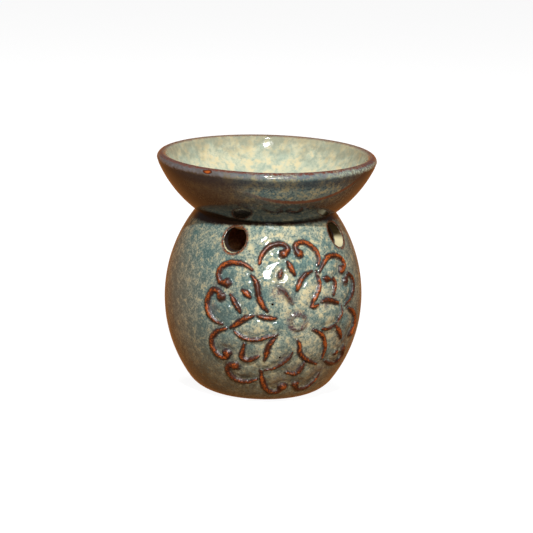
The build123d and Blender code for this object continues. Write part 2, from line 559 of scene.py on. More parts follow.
@dataclass(frozen=True)
class PotGlaze(ReactiveGlaze):
    """Glaze on the pot, with bare lines, pooled glaze and painted shade beside them, a browner foot with a
    painted warm reflection, and painted shade and reflection at the sides and under the dish.
    """

    pool_and_shade: Colour = tint(0.15, 0.12, 0.15)
    foot_brown_and_reflection: Colour = tint(0.45, 0.37, 0.21)
    clay_dark: Colour = tint(0.62, 0.42, 0.27)
    clay_light: Colour = tint(0.80, 0.60, 0.42)
    flank_reflection_brown: Colour = tint(0.52, 0.38, 0.23)
    crease_shade_brown: Colour = tint(0.15, 0.10, 0.07)
    stain: Colour = tint(0.34, 0.25, 0.27)
    foot_heights: Span = (44.0, 2.0)
    foot_break: Fade = (0.2, 0.7, 0.3, 0.75)
    flank_shade_lift: Fade = (10.0, 38.0, 0.0, -0.07)
    flank_shade: Fade = (10.0, 38.0, 0.0, 0.34)
    flank_reflection_fade: Fade = (36.0, 47.0, 0.0, 0.25)
    stain_break: Fade = (0.35, 0.6, 1.0, 0.25)
    pool_and_shade_break: Fade = (0.3, 0.55, 0.5, 1.0)
    ring_break: Fade = (0.3, 0.5, 0.6, 1.0)
    ring_rusting: Fade = (0.45, 0.6, 0.0, 0.6)
    grain_size: float = 0.7
    rust_patch_size: float = 5.0
    rust_grain: float = 1.6
    rust_break: Span = (2.42, 2.98)
    bare_breakup: float = 0.8
    bare_edge: Span = (0.66, 0.96)
    bare_rough_edge: Span = (0.45, 0.85)
    bare_roughness: float = 0.4
    shoulder: Span = (12.0, 36.0)
    shoulder_drop: float = 2.0
    crease_breakup: float = 1.5
    crease_heights: Span = (82.4, 84.0)
    pit_spacing: float = 5.0
    pinholes: tuple[Place, ...] = ((-11.7, -43.4, 49.7), (-7.1, -42.0, 24.8))
    pinhole_reach: Place = (1.0, 1.6, 1.0)
    pinhole_edge: Span = (0.65, 0.45)
    swell_size: float = 7.0
    swell_depth: float = 0.26
    peel_size: float = 1.6
    peel_depth: float = 0.035
    crest_grain_depth: float = 0.12
    pit_depth: float = 0.15

    def ground(self, sheet: Sheet, side: Socket, breakup: Socket) -> Socket:
        """Colour of the glaze away from the lines.

        Args:
            sheet: The material's nodes.
            side: Distance from the middle plane.
            breakup: Fine noise.

        Returns:
            The colour.
        """
        # Painted shade: the glaze is made less pale and deeper teal towards the sides, where the flanks turn
        # from the light.
        colour = self.body_colour(sheet, sheet.step(side, *self.flank_shade_lift))
        colour = sheet.mix(sheet.step(side, *self.flank_shade), colour, self.deep)
        # Painted reflection: brown towards the sides, for warm surroundings mirrored at the flanks.
        colour = sheet.mix(sheet.step(side, *self.flank_reflection_fade), colour, self.flank_reflection_brown)
        # Browner towards the foot: thinner glaze there, and a painted warm reflection of a tabletop.
        foot = sheet.step(sheet.along("Z"), *self.foot_heights)
        foot = sheet.times(foot, sheet.step(breakup, *self.foot_break))
        colour = sheet.mix(foot, colour, self.foot_brown_and_reflection)
        stained = sheet.times(sheet.value("stain"), sheet.step(breakup, *self.stain_break))
        colour = sheet.mix(stained, colour, self.stain)
        # Glaze pooled beside the raised lines, made darker as painted shade along the lines' sides.
        pooled_and_shaded = sheet.times(sheet.value("halo"), sheet.step(breakup, *self.pool_and_shade_break))
        return sheet.mix(pooled_and_shaded, colour, self.pool_and_shade)

    def material(self) -> bpy.types.Material:
        """Lays out the pot's material.

        Returns:
            The material.
        """
        sheet = Sheet("pot_glaze")
        side = sheet.math("ABSOLUTE", sheet.along("X"))
        breakup = self.breakup(sheet)
        grain = sheet.noise(self.grain_size, 1.0, 0.6)
        crest = sheet.value("crest")
        bare = sheet.total(crest, (breakup, self.bare_breakup))
        core = sheet.total(bare, (grain, self.rust_grain), (sheet.noise(self.rust_patch_size, 0.0), 1.0))
        rusty = sheet.mix(sheet.step(core, *self.rust_break), self.dark_rust, self.rust)
        colour = sheet.mix(sheet.step(bare, *self.bare_edge), self.ground(sheet, side, breakup), rusty)
        ring = sheet.times(sheet.value("vent_edge"), sheet.step(breakup, *self.ring_break))
        ring_rust = sheet.mix(sheet.step(grain, *self.ring_rusting), self.dark_rust, self.rust)
        colour = sheet.mix(ring, colour, ring_rust)
        # Painted shade: a dark brown band at the top of the pot under the dish, reaching lower at the sides.
        lifted = sheet.total(sheet.along("Z"), (sheet.step(side, *self.shoulder), self.shoulder_drop))
        crease = sheet.step(sheet.total(lifted, (breakup, self.crease_breakup)), *self.crease_heights)
        colour = sheet.mix(crease, colour, self.crease_shade_brown)
        clay = sheet.ramp(breakup, self.clay_dark, self.clay_light)
        colour = sheet.mix(sheet.value("inside"), colour, clay)
        pits = self.pits(sheet, self.pit_spacing)
        for place in self.pinholes:
            hole = sheet.step(sheet.spot(place, self.pinhole_reach), *self.pinhole_edge)
            pits = sheet.math("MAXIMUM", pits, hole)
        colour = sheet.mix(pits, colour, self.pit_black)
        normal = sheet.bump(sheet.noise(self.swell_size, 1.0), self.swell_depth)
        normal = sheet.bump(sheet.noise(self.peel_size, 1.0), self.peel_depth, normal)
        normal = sheet.bump(sheet.times(grain, crest), self.crest_grain_depth, normal)
        normal = sheet.bump(sheet.times(pits, -1.0), self.pit_depth, normal)
        rough = sheet.step(bare, *self.bare_rough_edge, 0.0, self.bare_roughness)
        roughness = sheet.math("MAXIMUM", self.gloss(sheet, breakup), rough)
        return sheet.glossy(Base_Color=colour, Roughness=roughness, Normal=normal)


@dataclass(frozen=True)
class BoreGlaze(ReactiveGlaze):
    """Pale run of glaze at the mouth of an opening, and bare clay behind it, painted nearly black for the
    shade deep in the opening, with painted shade at the top of the bore.
    """

    shaded_bore_clay: Colour = tint(0.14, 0.08, 0.05)
    bore_shade: Colour = tint(0.26, 0.22, 0.14)
    run_lift: Fade = (50.0, 62.0, 0.0, 0.3)
    run_depths: Fade = (-5.0, 5.0, 1.2, 4.4)
    run_edge: Span = (0.3, 0.9)
    shade_heights: Span = (72.5, 75.5)
    glazed_roughness: float = 0.05
    bare_roughness: float = 0.7

    def material(self) -> bpy.types.Material:
        """Lays out the material of the openings' walls.

        Returns:
            The material.
        """
        sheet = Sheet("opening_glaze")
        height = sheet.along("Z")
        run = sheet.step(sheet.along("X"), *self.run_depths)
        depth = sheet.math("ADD", sheet.value("wall_depth"), self.breakup(sheet))
        bare = sheet.step(sheet.math("SUBTRACT", depth, run), *self.run_edge)
        glazed = self.body_colour(sheet, sheet.step(height, *self.run_lift))
        # Painted shade at the top of the bore.
        glazed = sheet.mix(sheet.step(height, *self.shade_heights), glazed, self.bore_shade)
        glossy, rough = ((value, value, value, 1.0) for value in (self.glazed_roughness, self.bare_roughness))
        # Bare clay, painted nearly black for the shade deep in the opening.
        colour = sheet.mix(bare, glazed, self.shaded_bore_clay)
        return sheet.glossy(Base_Color=colour, Roughness=sheet.mix(bare, glossy, rough))


@dataclass(frozen=True)
class DishGlaze(ReactiveGlaze):
    """Glaze on the dish, paler inside, with a thin dusky line along the crest."""

    teal: Colour = tint(0.30, 0.42, 0.43)
    pale: Colour = tint(0.52, 0.56, 0.50)
    cream: Colour = tint(0.72, 0.66, 0.46)
    deep: Colour = tint(0.14, 0.22, 0.25)
    mottle_size: float = 3.0
    breakup_size: float = 1.6
    inner_glaze: ReactiveGlaze = ReactiveGlaze(
        deep=tint(0.56, 0.61, 0.56),
        teal=tint(0.63, 0.67, 0.60),
        pale=tint(0.75, 0.75, 0.65),
        cream=tint(0.82, 0.75, 0.58),
        patch_size=12.0,
        mottle_size=4.6,
        speckle_size=1.8,
        pale_lift=0.03,
        speckle_share=0.5,
    )
    crest_brown: Colour = tint(0.38, 0.20, 0.14)
    rim_shade: Colour = tint(0.50, 0.48, 0.39)
    flank_reflection_brown: Colour = tint(0.27, 0.19, 0.12)
    lip_dusk: Colour = tint(0.42, 0.42, 0.44)
    lip_edge_shade: Colour = tint(0.11, 0.14, 0.17)
    neck_shade: Colour = tint(0.08, 0.07, 0.06)
    dip_line: Colour = tint(0.46, 0.26, 0.17)
    dip_brown: Colour = tint(0.28, 0.23, 0.15)
    run_pale: Colour = tint(0.62, 0.68, 0.60)
    dip_slope: Place = (-0.03, -0.83, 0.56)
    dip_reach: float = 89.7
    dip_breakup: float = 0.8
    dip_lift: Fade = (1.0, -6.0, 0.0, -0.06)
    dip_browning: Fade = (0.0, -1.5, 0.0, 0.5)
    dip_line_edge: Span = (1.2, 0.5)
    dip_line_sides: Fade = (-28.0, -6.0, 0.15, 0.85)
    flank_blot_size: float = 9.0
    flank_blot_reach: float = 14.0
    flank_reflection_fade: Fade = (22.0, 44.0, 0.0, 0.72)
    neck_breakup: float = 6.0
    neck_shading: Fade = (101.0, 90.0, 0.0, 0.9)
    inner_lift: Fade = (-20.0, -6.0, 0.0, -0.05)
    rim_shade_inset: float = 6.0
    rim_blot_size: float = 4.0
    rim_blot_reach: float = 16.0
    rim_breakup: float = 4.0
    rim_shading: Fade = (-10.0, 2.0, 0.0, 0.6)
    lip_breakup: float = 2.4
    dusk_band: tuple[Span, Span] = ((-1.2, 0.6), (2.6, 4.6))
    dusk_break: Fade = (0.3, 0.6, 0.9, 0.4)
    edge_shade_band: tuple[Span, Span] = ((3.6, 5.0), (6.5, 11.0))
    edge_shade_share: float = 0.7
    streak_band: tuple[Span, Span] = ((1.6, 2.4), (3.4, 4.6))
    streak_break: Span = (0.42, 0.56)
    streak_sides: Fade = (6.0, 24.0, 0.0, 0.8)
    crest_band: tuple[Span, Span] = ((-2.6, -1.1), (0.9, 2.0))
    crest_break: Fade = (0.3, 0.6, 1.0, 0.6)
    bare_spot: Place = (-38.6, -30.4, 108.0)
    bare_spot_reach: Place = (2.4, 2.4, 0.9)
    bare_spot_breakup: float = 0.8
    bare_spot_edge: Span = (1.5, 1.3)
    bare_spot_core: Span = (1.3, 0.7)
    pit_spacing: float = 6.0
    swell_size: float = 7.0
    swell_depth: float = 0.1
    peel_size: float = 1.8
    peel_depth: float = 0.03

    def outer_colour(self, sheet: Sheet, breakup: Socket) -> Socket:
        """Colour of the underside, with the line that a second dip left.

        Args:
            sheet: The material's nodes.
            breakup: Fine noise.

        Returns:
            The colour.
        """
        past_dip = sheet.total(-0.5 * self.dip_breakup - self.dip_reach, (breakup, self.dip_breakup))
        for axis, slope in zip("XYZ", self.dip_slope):
            past_dip = sheet.total(past_dip, (sheet.along(axis), slope))
        colour = self.body_colour(sheet, sheet.step(past_dip, *self.dip_lift))
        colour = sheet.mix(sheet.step(past_dip, *self.dip_browning), colour, self.dip_brown)
        line = sheet.step(sheet.math("ABSOLUTE", past_dip), *self.dip_line_edge)
        line = sheet.times(line, sheet.step(sheet.along("X"), *self.dip_line_sides))
        colour = sheet.mix(line, colour, self.dip_line)
        # Painted reflection: brown in blotches towards the sides of the underside, for warm surroundings
        # mirrored there.
        side = sheet.math("ABSOLUTE", sheet.along("X"))
        side = sheet.total(side, (sheet.noise(self.flank_blot_size), self.flank_blot_reach))
        return sheet.mix(sheet.step(side, *self.flank_reflection_fade), colour, self.flank_reflection_brown)

    def inner_colour(self, sheet: Sheet, breakup: Socket, crest_reach: Socket) -> Socket:
        """Colour of the inside, shaded in blotches below the rim.

        Args:
            sheet: The material's nodes.
            breakup: Fine noise.
            crest_reach: Distance round from the crest.

        Returns:
            The colour.
        """
        colour = self.inner_glaze.body_colour(sheet, sheet.step(crest_reach, *self.inner_lift))
        blots = sheet.noise(self.rim_blot_size, 1.0)
        reach = sheet.math("ADD", crest_reach, -self.rim_shade_inset)
        reach = sheet.total(reach, (blots, self.rim_blot_reach), (breakup, self.rim_breakup))
        return sheet.mix(sheet.step(reach, *self.rim_shading), colour, self.rim_shade)

    def lip_colour(self, sheet: Sheet, breakup: Socket, crest_reach: Socket, colour: Socket) -> Socket:
        """Lays the lip's dusk, painted edge shade, streaks and crest line over a colour.

        Args:
            sheet: The material's nodes.
            breakup: Fine noise.
            crest_reach: Distance round from the crest.
            colour: The colour under them.

        Returns:
            The colour with them.
        """
        reach = sheet.total(crest_reach, (sheet.math("SUBTRACT", breakup, 0.5), self.lip_breakup))
        dusk = sheet.times(sheet.band(reach, *self.dusk_band), sheet.step(breakup, *self.dusk_break))
        colour = sheet.mix(dusk, colour, self.lip_dusk)
        # Painted shade: a near-black band where the lip turns under.
        edge = sheet.times(sheet.band(reach, *self.edge_shade_band), self.edge_shade_share)
        colour = sheet.mix(edge, colour, self.lip_edge_shade)
        broken = sheet.step(sheet.noise(1.0, 1.0), *self.streak_break)
        streak = sheet.times(sheet.band(reach, *self.streak_band), broken)
        streak = sheet.times(streak, sheet.step(sheet.along("X"), *self.streak_sides))
        colour = sheet.mix(streak, colour, self.run_pale)
        crest = sheet.times(sheet.band(reach, *self.crest_band), sheet.step(breakup, *self.crest_break))
        return sheet.mix(crest, colour, self.crest_brown)

    def material(self) -> bpy.types.Material:
        """Lays out the dish's material.

        Returns:
            The material.
        """
        sheet = Sheet("dish_glaze")
        inside = sheet.value("inside")
        crest_reach = sheet.value("crest_reach")
        breakup = self.breakup(sheet)
        inner = self.inner_colour(sheet, breakup, crest_reach)
        colour = sheet.mix(inside, self.outer_colour(sheet, breakup), inner)
        colour = self.lip_colour(sheet, breakup, crest_reach, colour)
        spot = sheet.spot(self.bare_spot, self.bare_spot_reach)
        spot = sheet.total(spot, (breakup, self.bare_spot_breakup))
        spot_colour = sheet.mix(sheet.step(spot, *self.bare_spot_core), self.dark_rust, self.rust)
        colour = sheet.mix(sheet.step(spot, *self.bare_spot_edge), colour, spot_colour)
        # Painted shade: the underside turns near-black towards the neck, under the dish's overhang.
        height = sheet.total(sheet.along("Z"), (breakup, self.neck_breakup))
        pooled_and_shaded = sheet.step(height, *self.neck_shading)
        pooled_and_shaded = sheet.times(pooled_and_shaded, sheet.math("SUBTRACT", 1.0, inside))
        colour = sheet.mix(pooled_and_shaded, colour, self.neck_shade)
        colour = sheet.mix(self.pits(sheet, self.pit_spacing), colour, self.pit_black)
        normal = sheet.bump(sheet.noise(self.swell_size, 0.0), self.swell_depth)
        normal = sheet.bump(sheet.noise(self.peel_size, 1.0), self.peel_depth, normal)
        return sheet.glossy(Base_Color=colour, Roughness=self.gloss(sheet, breakup), Normal=normal)


@dataclass(frozen=True)
class PlainFinish:
    """Finish of a small piece: one colour with a faint grain."""

    name: str
    light: Colour
    dark: Colour
    roughness: float
    metal: float = 0.0
    grain_size: float = 1.2
    grain_depth: float = 0.03
    glow_through: float = 0.0
    glow_depth: float = 4.0

    def material(self) -> bpy.types.Material:
        """Lays out the piece's material.

        Returns:
            The material.
        """
        sheet = Sheet(self.name)
        grain = sheet.noise(self.grain_size, 3.0, 0.6)
        return sheet.glossy(
            Base_Color=sheet.ramp(grain, self.dark, self.light),
            Metallic=self.metal,
            Roughness=sheet.step(grain, 0.2, 0.8, self.roughness, 1.4 * self.roughness),
            Subsurface_Weight=self.glow_through,
            Subsurface_Scale=self.glow_depth * MM,
            Normal=sheet.bump(grain, self.grain_depth),
        )


class ReliefTree(Nodes):
    """Geometry nodes that raise the clay lines on the pot's skin."""

    # Where each form starts or ends, as a share of the line's half width or of the boss's radius
    RIDGE_START = 0.25
    RIDGE_END = 1.25
    GROOVE_START = 1.1
    HALO_START = 0.9
    BOSS_END = 1.25

    def __init__(self) -> None:
        """Starts the tree with its named inputs and its output."""
        super().__init__(bpy.data.node_groups.new("raised_lines", "GeometryNodeTree"))
        self.sockets: dict[str, str] = {}
        for name, kind in (
            ("Geometry", "Geometry"),
            ("Lines", "Object"),
            ("Rise", "Float"),
            ("Groove Depth", "Float"),
            ("Groove Width", "Float"),
            ("Halo Width", "Float"),
            ("Wobble", "Float"),
            ("Wobble Scale", "Float"),
            ("Boss Place", "Vector"),
            ("Boss Radius", "Float"),
            ("Boss Rise", "Float"),
            ("Glaze", "Material"),
        ):
            made = self.tree.interface.new_socket(name, in_out="INPUT", socket_type=f"NodeSocket{kind}")
            self.sockets[name] = made.identifier
        self.tree.interface.new_socket("Geometry", in_out="OUTPUT", socket_type="NodeSocketGeometry")
        self.given = self.tree.nodes.new("NodeGroupInput").outputs
        self.lay_out()

    def fade(self, value: Any, low: Any, high: Any) -> Socket:
        """Soft step of a value, from 1 at low to 0 at high."""
        return self.step(value, low, high, 1.0, 0.0)

    def number(self, name: str) -> Socket:
        """Number that the geometry keeps for each of its points."""
        given = {"Name": name}
        return self.node("GeometryNodeInputNamedAttribute", given, data_type="FLOAT").outputs["Attribute"]

    def read(self, lines: Socket, name: str, index: Socket) -> Socket:
        """Number that one place of the lines carries."""
        given = {"Geometry": lines, "Value": self.number(name), "Index": index}
        return self.node("GeometryNodeSampleIndex", given, data_type="FLOAT", domain="POINT").outputs["Value"]

    def store(self, geometry: Socket, name: str, value: Socket) -> Socket:
        """Stores one more number for each point.

        Args:
            geometry: The geometry.
            name: Name of the number.
            value: The number.

        Returns:
            The geometry with the number.
        """
        given = {"Geometry": geometry, "Name": name, "Value": value}
        made = self.node("GeometryNodeStoreNamedAttribute", given, data_type="FLOAT", domain="POINT")
        return made.outputs["Geometry"]

    def nearest(self, lines: Socket) -> tuple[Socket, Socket]:
        """Finds the lines' nearest place.

        Args:
            lines: The lines' geometry.

        Returns:
            The distance to the lines, which wobbles, and the number of the nearest place.
        """
        near = self.tree.nodes.new("GeometryNodeProximity")
        near.target_element = "EDGES"
        self.join(near.inputs[0], lines)
        wobble = self.node("ShaderNodeTexNoise", {"Scale": self.given["Wobble Scale"]}, noise_dimensions="3D")
        wander = self.times(self.math("SUBTRACT", wobble.outputs[0], 0.5), self.given["Wobble"])
        distance = self.math("MAXIMUM", self.math("ADD", near.outputs["Distance"], wander), 0.0)
        given = {"Geometry": lines, "Sample Position": near.outputs["Position"]}
        return distance, self.node("GeometryNodeSampleNearest", given, domain="POINT").outputs["Index"]

    def lay_out(self) -> None:
        """Lays out the nodes between the inputs and the output."""
        lines = self.node("GeometryNodeObjectInfo", {"Object": self.given["Lines"]}).outputs["Geometry"]
        distance, index = self.nearest(lines)
        half = self.read(lines, "half_width", index)
        ridge_start, ridge_end, groove_start, halo_start = (
            self.times(half, share)
            for share in (self.RIDGE_START, self.RIDGE_END, self.GROOVE_START, self.HALO_START)
        )
        ridge = self.fade(distance, ridge_start, ridge_end)
        raised = self.times(ridge, self.read(lines, "rise_share", index))
        groove_end = self.math("ADD", groove_start, self.given["Groove Width"])
        groove = self.math("SUBTRACT", self.fade(distance, groove_start, groove_end), ridge)
        groove = self.math("MAXIMUM", groove, 0.0)
        place = self.node("GeometryNodeInputPosition", {}).outputs[0]
        given = {0: place, 1: self.given["Boss Place"]}
        boss_gap = self.node("ShaderNodeVectorMath", given, operation="DISTANCE").outputs["Value"]
        dome = self.fade(boss_gap, 0.0, self.times(self.given["Boss Radius"], self.BOSS_END))
        lift = self.times(raised, self.given["Rise"])
        lift = self.math("SUBTRACT", lift, self.times(groove, self.given["Groove Depth"]))
        lift = self.math("ADD", lift, self.times(dome, self.given["Boss Rise"]))
        outside = self.number("relief_share")
        given = {0: self.node("GeometryNodeInputNormal", {}).outputs[0], "Scale": self.times(lift, outside)}
        push = self.node("ShaderNodeVectorMath", given, operation="SCALE").outputs["Vector"]
        halo = self.fade(distance, halo_start, self.math("ADD", half, self.given["Halo Width"]))
        bare = self.read(lines, "bareness", index)
        kept = self.store(self.given["Geometry"], "crest", self.times(ridge, bare))
        kept = self.store(kept, "halo", self.times(halo, self.times(bare, outside)))
        moved = self.node("GeometryNodeSetPosition", {"Geometry": kept, "Offset": push}).outputs["Geometry"]
        whole = self.node("GeometryNodeRealizeInstances", {"Geometry": moved}).outputs["Geometry"]
        given = {"Geometry": whole, "Material": self.given["Glaze"]}
        dressed = self.node("GeometryNodeSetMaterial", given).outputs["Geometry"]
        output = self.tree.nodes.new("NodeGroupOutput")
        self.tree.links.new(dressed, output.inputs["Geometry"])


@dataclass
class Pot:
    """The round-bellied pot with its flower, vents, arch and chamber."""

    belly_radius: float = 45.35
    belly_height: float = 43.0
    neck_radius: float = 31.6
    neck_height: float = 83.3
    heel_radius: float = 33.6
    heel_height: float = 6.0
    base_radius: float = 24.7
    wall: float = 4.5
    floor: float = 5.0
    base_recess_depth: float = 1.2
    base_ring_width: float = 5.0
    vent_radius: float = 5.3
    vent_height: float = 76.0
    vent_bearing: float = 42.0
    vent_edge_round: float = 0.6
    vent_ring_start: float = 0.4
    vent_ring_width: float = 1.7
    arch_width: float = 46.0
    arch_height: float = 42.0
    arch_edge_round: float = 0.9
    flower_height: float = 41.3
    line_rise: float = 1.1
    line_width_share: float = 1.15
    line_steps: int = 6
    tip_share: float = 0.5
    taper_share: float = 0.3
    drop_start: float = 0.88
    drop_growth: float = 0.75
    swell_rise: float = 0.45
    petal_half_width: float = 3.8
    lobe_half_width: float = 3.0
    line_wobble: float = 1.1
    wobble_size: float = 1.8
    groove_depth: float = 0.30
    groove_width: float = 2.6
    halo_width: float = 0.7
    boss_radius: float = 4.4
    boss_rise: float = 0.9
    fine_spacing: float = 0.46
    side_spacing: float = 2.2
    rear_spacing: float = 0.9
    chamber_spacing: float = 4.0
    flower_half_bearing: float = 62.0
    rear_bearing: float = 125.0
    mouth_ledge: float = 0.45
    floor_corner_inset: float = 2.4
    cutter_sides: int = 72
    cutter_gap: float = 4.0
    crease_angle: float = 50.0

    def wall_line(self, inset: float = 0.0) -> list[Point]:
        """Line up the wall, along the arcs of its foot, side and shoulder.

        Args:
            inset: Distance in from the outside.

        Returns:
            Radius and height of each point, from the base to the neck.
        """
        rise = self.neck_height - self.belly_height
        fall = self.belly_height - self.heel_height
        shoulder_run = self.belly_radius - self.neck_radius
        side_run = self.belly_radius - self.heel_radius
        shoulder_slope = math.asin(rise / ((shoulder_run**2 + rise**2) / (2 * shoulder_run)))
        side_slope = math.asin(fall / ((side_run**2 + fall**2) / (2 * side_run)))
        belly = (self.belly_radius - inset, self.belly_height)
        neck = (
            self.neck_radius - inset * math.cos(shoulder_slope),
            self.neck_height - inset * math.sin(shoulder_slope),
        )
        heel = (
            self.heel_radius - inset * math.cos(side_slope),
            self.heel_height + inset * math.sin(side_slope),
        )
        side, heading = tangent_arc(belly, (0, -1), heel)
        foot, _ = tangent_arc(heel, heading, (self.base_radius, inset))
        shoulder, _ = tangent_arc(belly, (0, 1), neck)
        return foot[::-1] + side[::-1] + [belly] + shoulder

    def outline(self) -> tuple[list[Point], list[Zone]]:
        """Outline of the pot's section, from under the base round to the chamber's floor.

        Returns:
            Radius and height of each point, and the zone of each point.
        """
        ring = self.base_radius - self.base_ring_width
        recess = self.base_recess_depth
        under = [(0, recess), (ring, recess), (ring, 0), (self.base_radius, 0)]
        outside = respaced(self.wall_line(), self.fine_spacing)[1:]
        inner = respaced(self.wall_line(self.wall)[::-1], self.chamber_spacing)
        inner = [(radius, height) for radius, height in inner if height > self.floor + 1]
        ledge = (inner[0][0], inner[0][1] + self.mouth_ledge)
        floor_corner = (inner[-1][0] - self.floor_corner_inset, self.floor)
        chamber = inner + [floor_corner, (0, self.floor)]
        points = under + outside + [ledge] + chamber
        zones = (
            [Zone.UNDERSIDE] * len(under)
            + [Zone.OUTSIDE] * len(outside)
            + [Zone.MOUTH]
            + [Zone.CHAMBER] * len(chamber)
        )
        return points, zones

    def bearings(self) -> np.ndarray:
        """Bearings of the skin's columns, close together at the flower and the openings.

        Returns:
            The bearings in radians.
        """
        stretches = (
            (-180, -self.rear_bearing, self.rear_spacing),
            (-self.rear_bearing, -self.flower_half_bearing, self.side_spacing),
            (-self.flower_half_bearing, self.flower_half_bearing, self.fine_spacing),
            (self.flower_half_bearing, self.rear_bearing, self.side_spacing),
            (self.rear_bearing, 180, self.rear_spacing),
        )
        columns = []
        for start, end, spacing in stretches:
            count = round(math.radians(end - start) * self.belly_radius / spacing)
            columns.append(np.linspace(start, end, count, endpoint=False))
        return np.radians(np.concatenate(columns))

    def surface_place(self, reach: float, bearing: float) -> np.ndarray:
        """Place on the outside, this far round from the flower's middle.

        Args:
            reach: Distance round the pot from the flower's middle.
            bearing: Bearing round the middle in degrees, from the right.

        Returns:
            The place in millimetres.
        """
        line = np.array(self.wall_line())
        swing = reach / self.belly_radius
        turn = math.radians(bearing)
        heading = np.array(
            (math.sin(swing) * math.cos(turn), -math.cos(swing), math.sin(swing) * math.sin(turn))
        )
        inner, outer = 0.0, 2 * self.belly_radius
        for _ in range(30):
            middle = (inner + outer) / 2
            x, y, z = middle * heading + (0, 0, self.flower_height)
            inside = 0 < z < self.neck_height and math.hypot(x, y) < np.interp(z, line[:, 1], line[:, 0])
            inner, outer = (middle, outer) if inside else (inner, middle)
        return inner * heading + (0, 0, self.flower_height)

    def petal_lines(self) -> tuple[ClayLine, ...]:
        """Raised lines of the petals, placed as the potter laid them.

        Returns:
            The lines.
        """
        return (
            ClayLine(((10.4, 168), (14.5, 171), (18.6, 170)), 1.15),
            ClayLine(((20.6, 171.5), (24, 176), (27, 181.5), (30.5, 186)), 1.25),
            ClayLine(((29, 190), (27, 195), (23.5, 201), (19, 205), (14.9, 206), (10.9, 211)), 0.95),
            ClayLine(((29.2, 134), (26.5, 135), (23.6, 140), (20.7, 148), (17.5, 154.5), (15, 159)), 1.25),
            ClayLine(((18, 119), (15.4, 114.5), (12, 112.5), (9, 108)), 1.1, bareness=0.5, rise=0.6),
            ClayLine(((14.2, 92), (16.4, 88.5), (20.4, 81.5), (22.8, 72)), 1.2, bareness=0.9),
            ClayLine(((23.5, 67), (20.9, 60), (18.6, 55), (15, 52.5), (11.9, 51), (9.2, 45.5)), 1.1),
            ClayLine(((9.0, 46), (10.4, 40), (12.2, 36)), 1.0),
            ClayLine(((14.6, 35.5), (17.7, 29.5), (20.2, 22.5), (22.6, 17)), 1.15),
            ClayLine(((24.2, 12.5), (23.9, 5), (23, 0), (21.2, -7)), 0.85, bareness=0.75),
            ClayLine(((20.4, -9.5), (16.7, -16.5), (13, -19.5)), 0.9, bareness=0.75),
            ClayLine(((8.8, -29), (12.8, -28), (16, -31.5), (19.6, -39.5), (21.8, -45), (24.5, -54)), 1.1),
            ClayLine(((8.2, -90), (11.4, -82), (15, -81.5), (18.4, -75), (21.8, -67.5), (25.4, -61.5)), 1.0),
            ClayLine(((12, 215.5), (15.3, 218.5), (18.1, 223.5), (20.4, 229), (23.2, 233.5)), 1.15),
            ClayLine(
                ((14.7, 264), (17.4, 260.5), (20.2, 255), (23.6, 248.5), (27, 241.5)), 0.95, bareness=0.8
            ),
        )

    def scroll_lines(self) -> tuple[ClayLine, ...]:
        """Curled lines between the petals, which end in drops.

        Returns:
            The lines.
        """
        rows = (
            (1.15, 1.0, (31, 122), (33, 117.5), (34.6, 111), (34.9, 104), (33.9, 98), (31.6, 95.5),
             (30.2, 100)),
            (1.15, 1.0, (26.5, 66.5), (29.6, 67), (32.2, 71.5), (34.2, 79),
             (34.2, 85.5), (32, 89.5), (29.6, 86.5)),
            (1.15, 1.0, (24.2, 62.5), (28, 61.2), (32, 58.5), (35.3, 52.5), (36.8, 46), (36, 40), (33, 40.5)),
            (1.05, 0.8, (27.4, 10.5), (32.2, 13.5), (35.8, 18.5), (37.3, 25), (36.2, 31), (33.6, 33),
             (31.6, 30.5)),
            (1.2, 1.0, (31, 130), (35, 131.5), (39.3, 136), (42, 142), (42, 148), (39.6, 152), (36.6, 150.5)),
            (1.25, 1.0, (35, 183.5), (39, 180.5), (42, 175), (43.1, 168), (41.9, 160.5), (39, 158.8),
             (36.8, 161.5)),
            (1.2, 1.0, (33, 187.5), (37, 189.5), (40.5, 194.5), (41.8, 201.5), (40.3, 209), (37.3, 212),
             (35.8, 209)),
            (1.25, 1.0, (33.5, 241.5), (37, 238.5), (39.8, 233), (41, 227), (40, 221), (37.6, 218.8),
             (35.6, 221)),
            (1.2, 1.0, (28, 238.5), (31.5, 244.5), (34.9, 250.5), (37, 257), (36.3, 263), (33.2, 265)),
            (1.1, 0.8, (32.5, 298), (35, 292), (36.6, 284.5), (35.3, 277.5), (32.2, 275.5)),
            (1.25, 1.0, (29.7, 5.5), (33.6, 1), (36.7, -5), (38.2, -12), (36.4, -18)),
            (1.15, 0.8, (27.5, -52), (32, -49), (36, -43.5), (37, -36.5), (34.3, -32.5)),
        )
        return tuple(
            ClayLine(tuple(places), width, Ending.DROP, bareness) for width, bareness, *places in rows
        )

    def leaf_marks(self) -> tuple[ClayLine, ...]:
        """Short leaves and veins inside the scrolls.

        Returns:
            The lines.
        """
        return (
            ClayLine(((26.7, 98.5), (24.2, 96.5), (21, 93.5)), 1.25),
            ClayLine(((24.2, 107), (22, 111.5)), 1.2, Ending.BLUNT, 0.6, 0.6),
            ClayLine(((23, 53.5), (24.4, 47)), 1.45),
            ClayLine(((25, 45), (25.8, 42), (25, 37.5), (21.5, 30)), 1.05),
            ClayLine(((32.8, 157.5), (29.7, 163), (26.6, 170)), 1.15),
            ClayLine(((28.8, 149.5), (26.6, 150), (24.5, 152)), 1.35),
            ClayLine(
                ((26.3, 205), (28.5, 211.5), (30.3, 216), (29.4, 221), (26.6, 223.5), (23.5, 224.5)), 1.15
            ),
            ClayLine(((25, 263), (26.1, 274), (24, 279.5), (21, 284.5)), 1.05),
            ClayLine(((21, -12.5), (24.9, -18), (28, -24.5)), 1.2),
            ClayLine(((30.4, -37), (28.4, -41)), 1.3, bareness=0.7),
        )

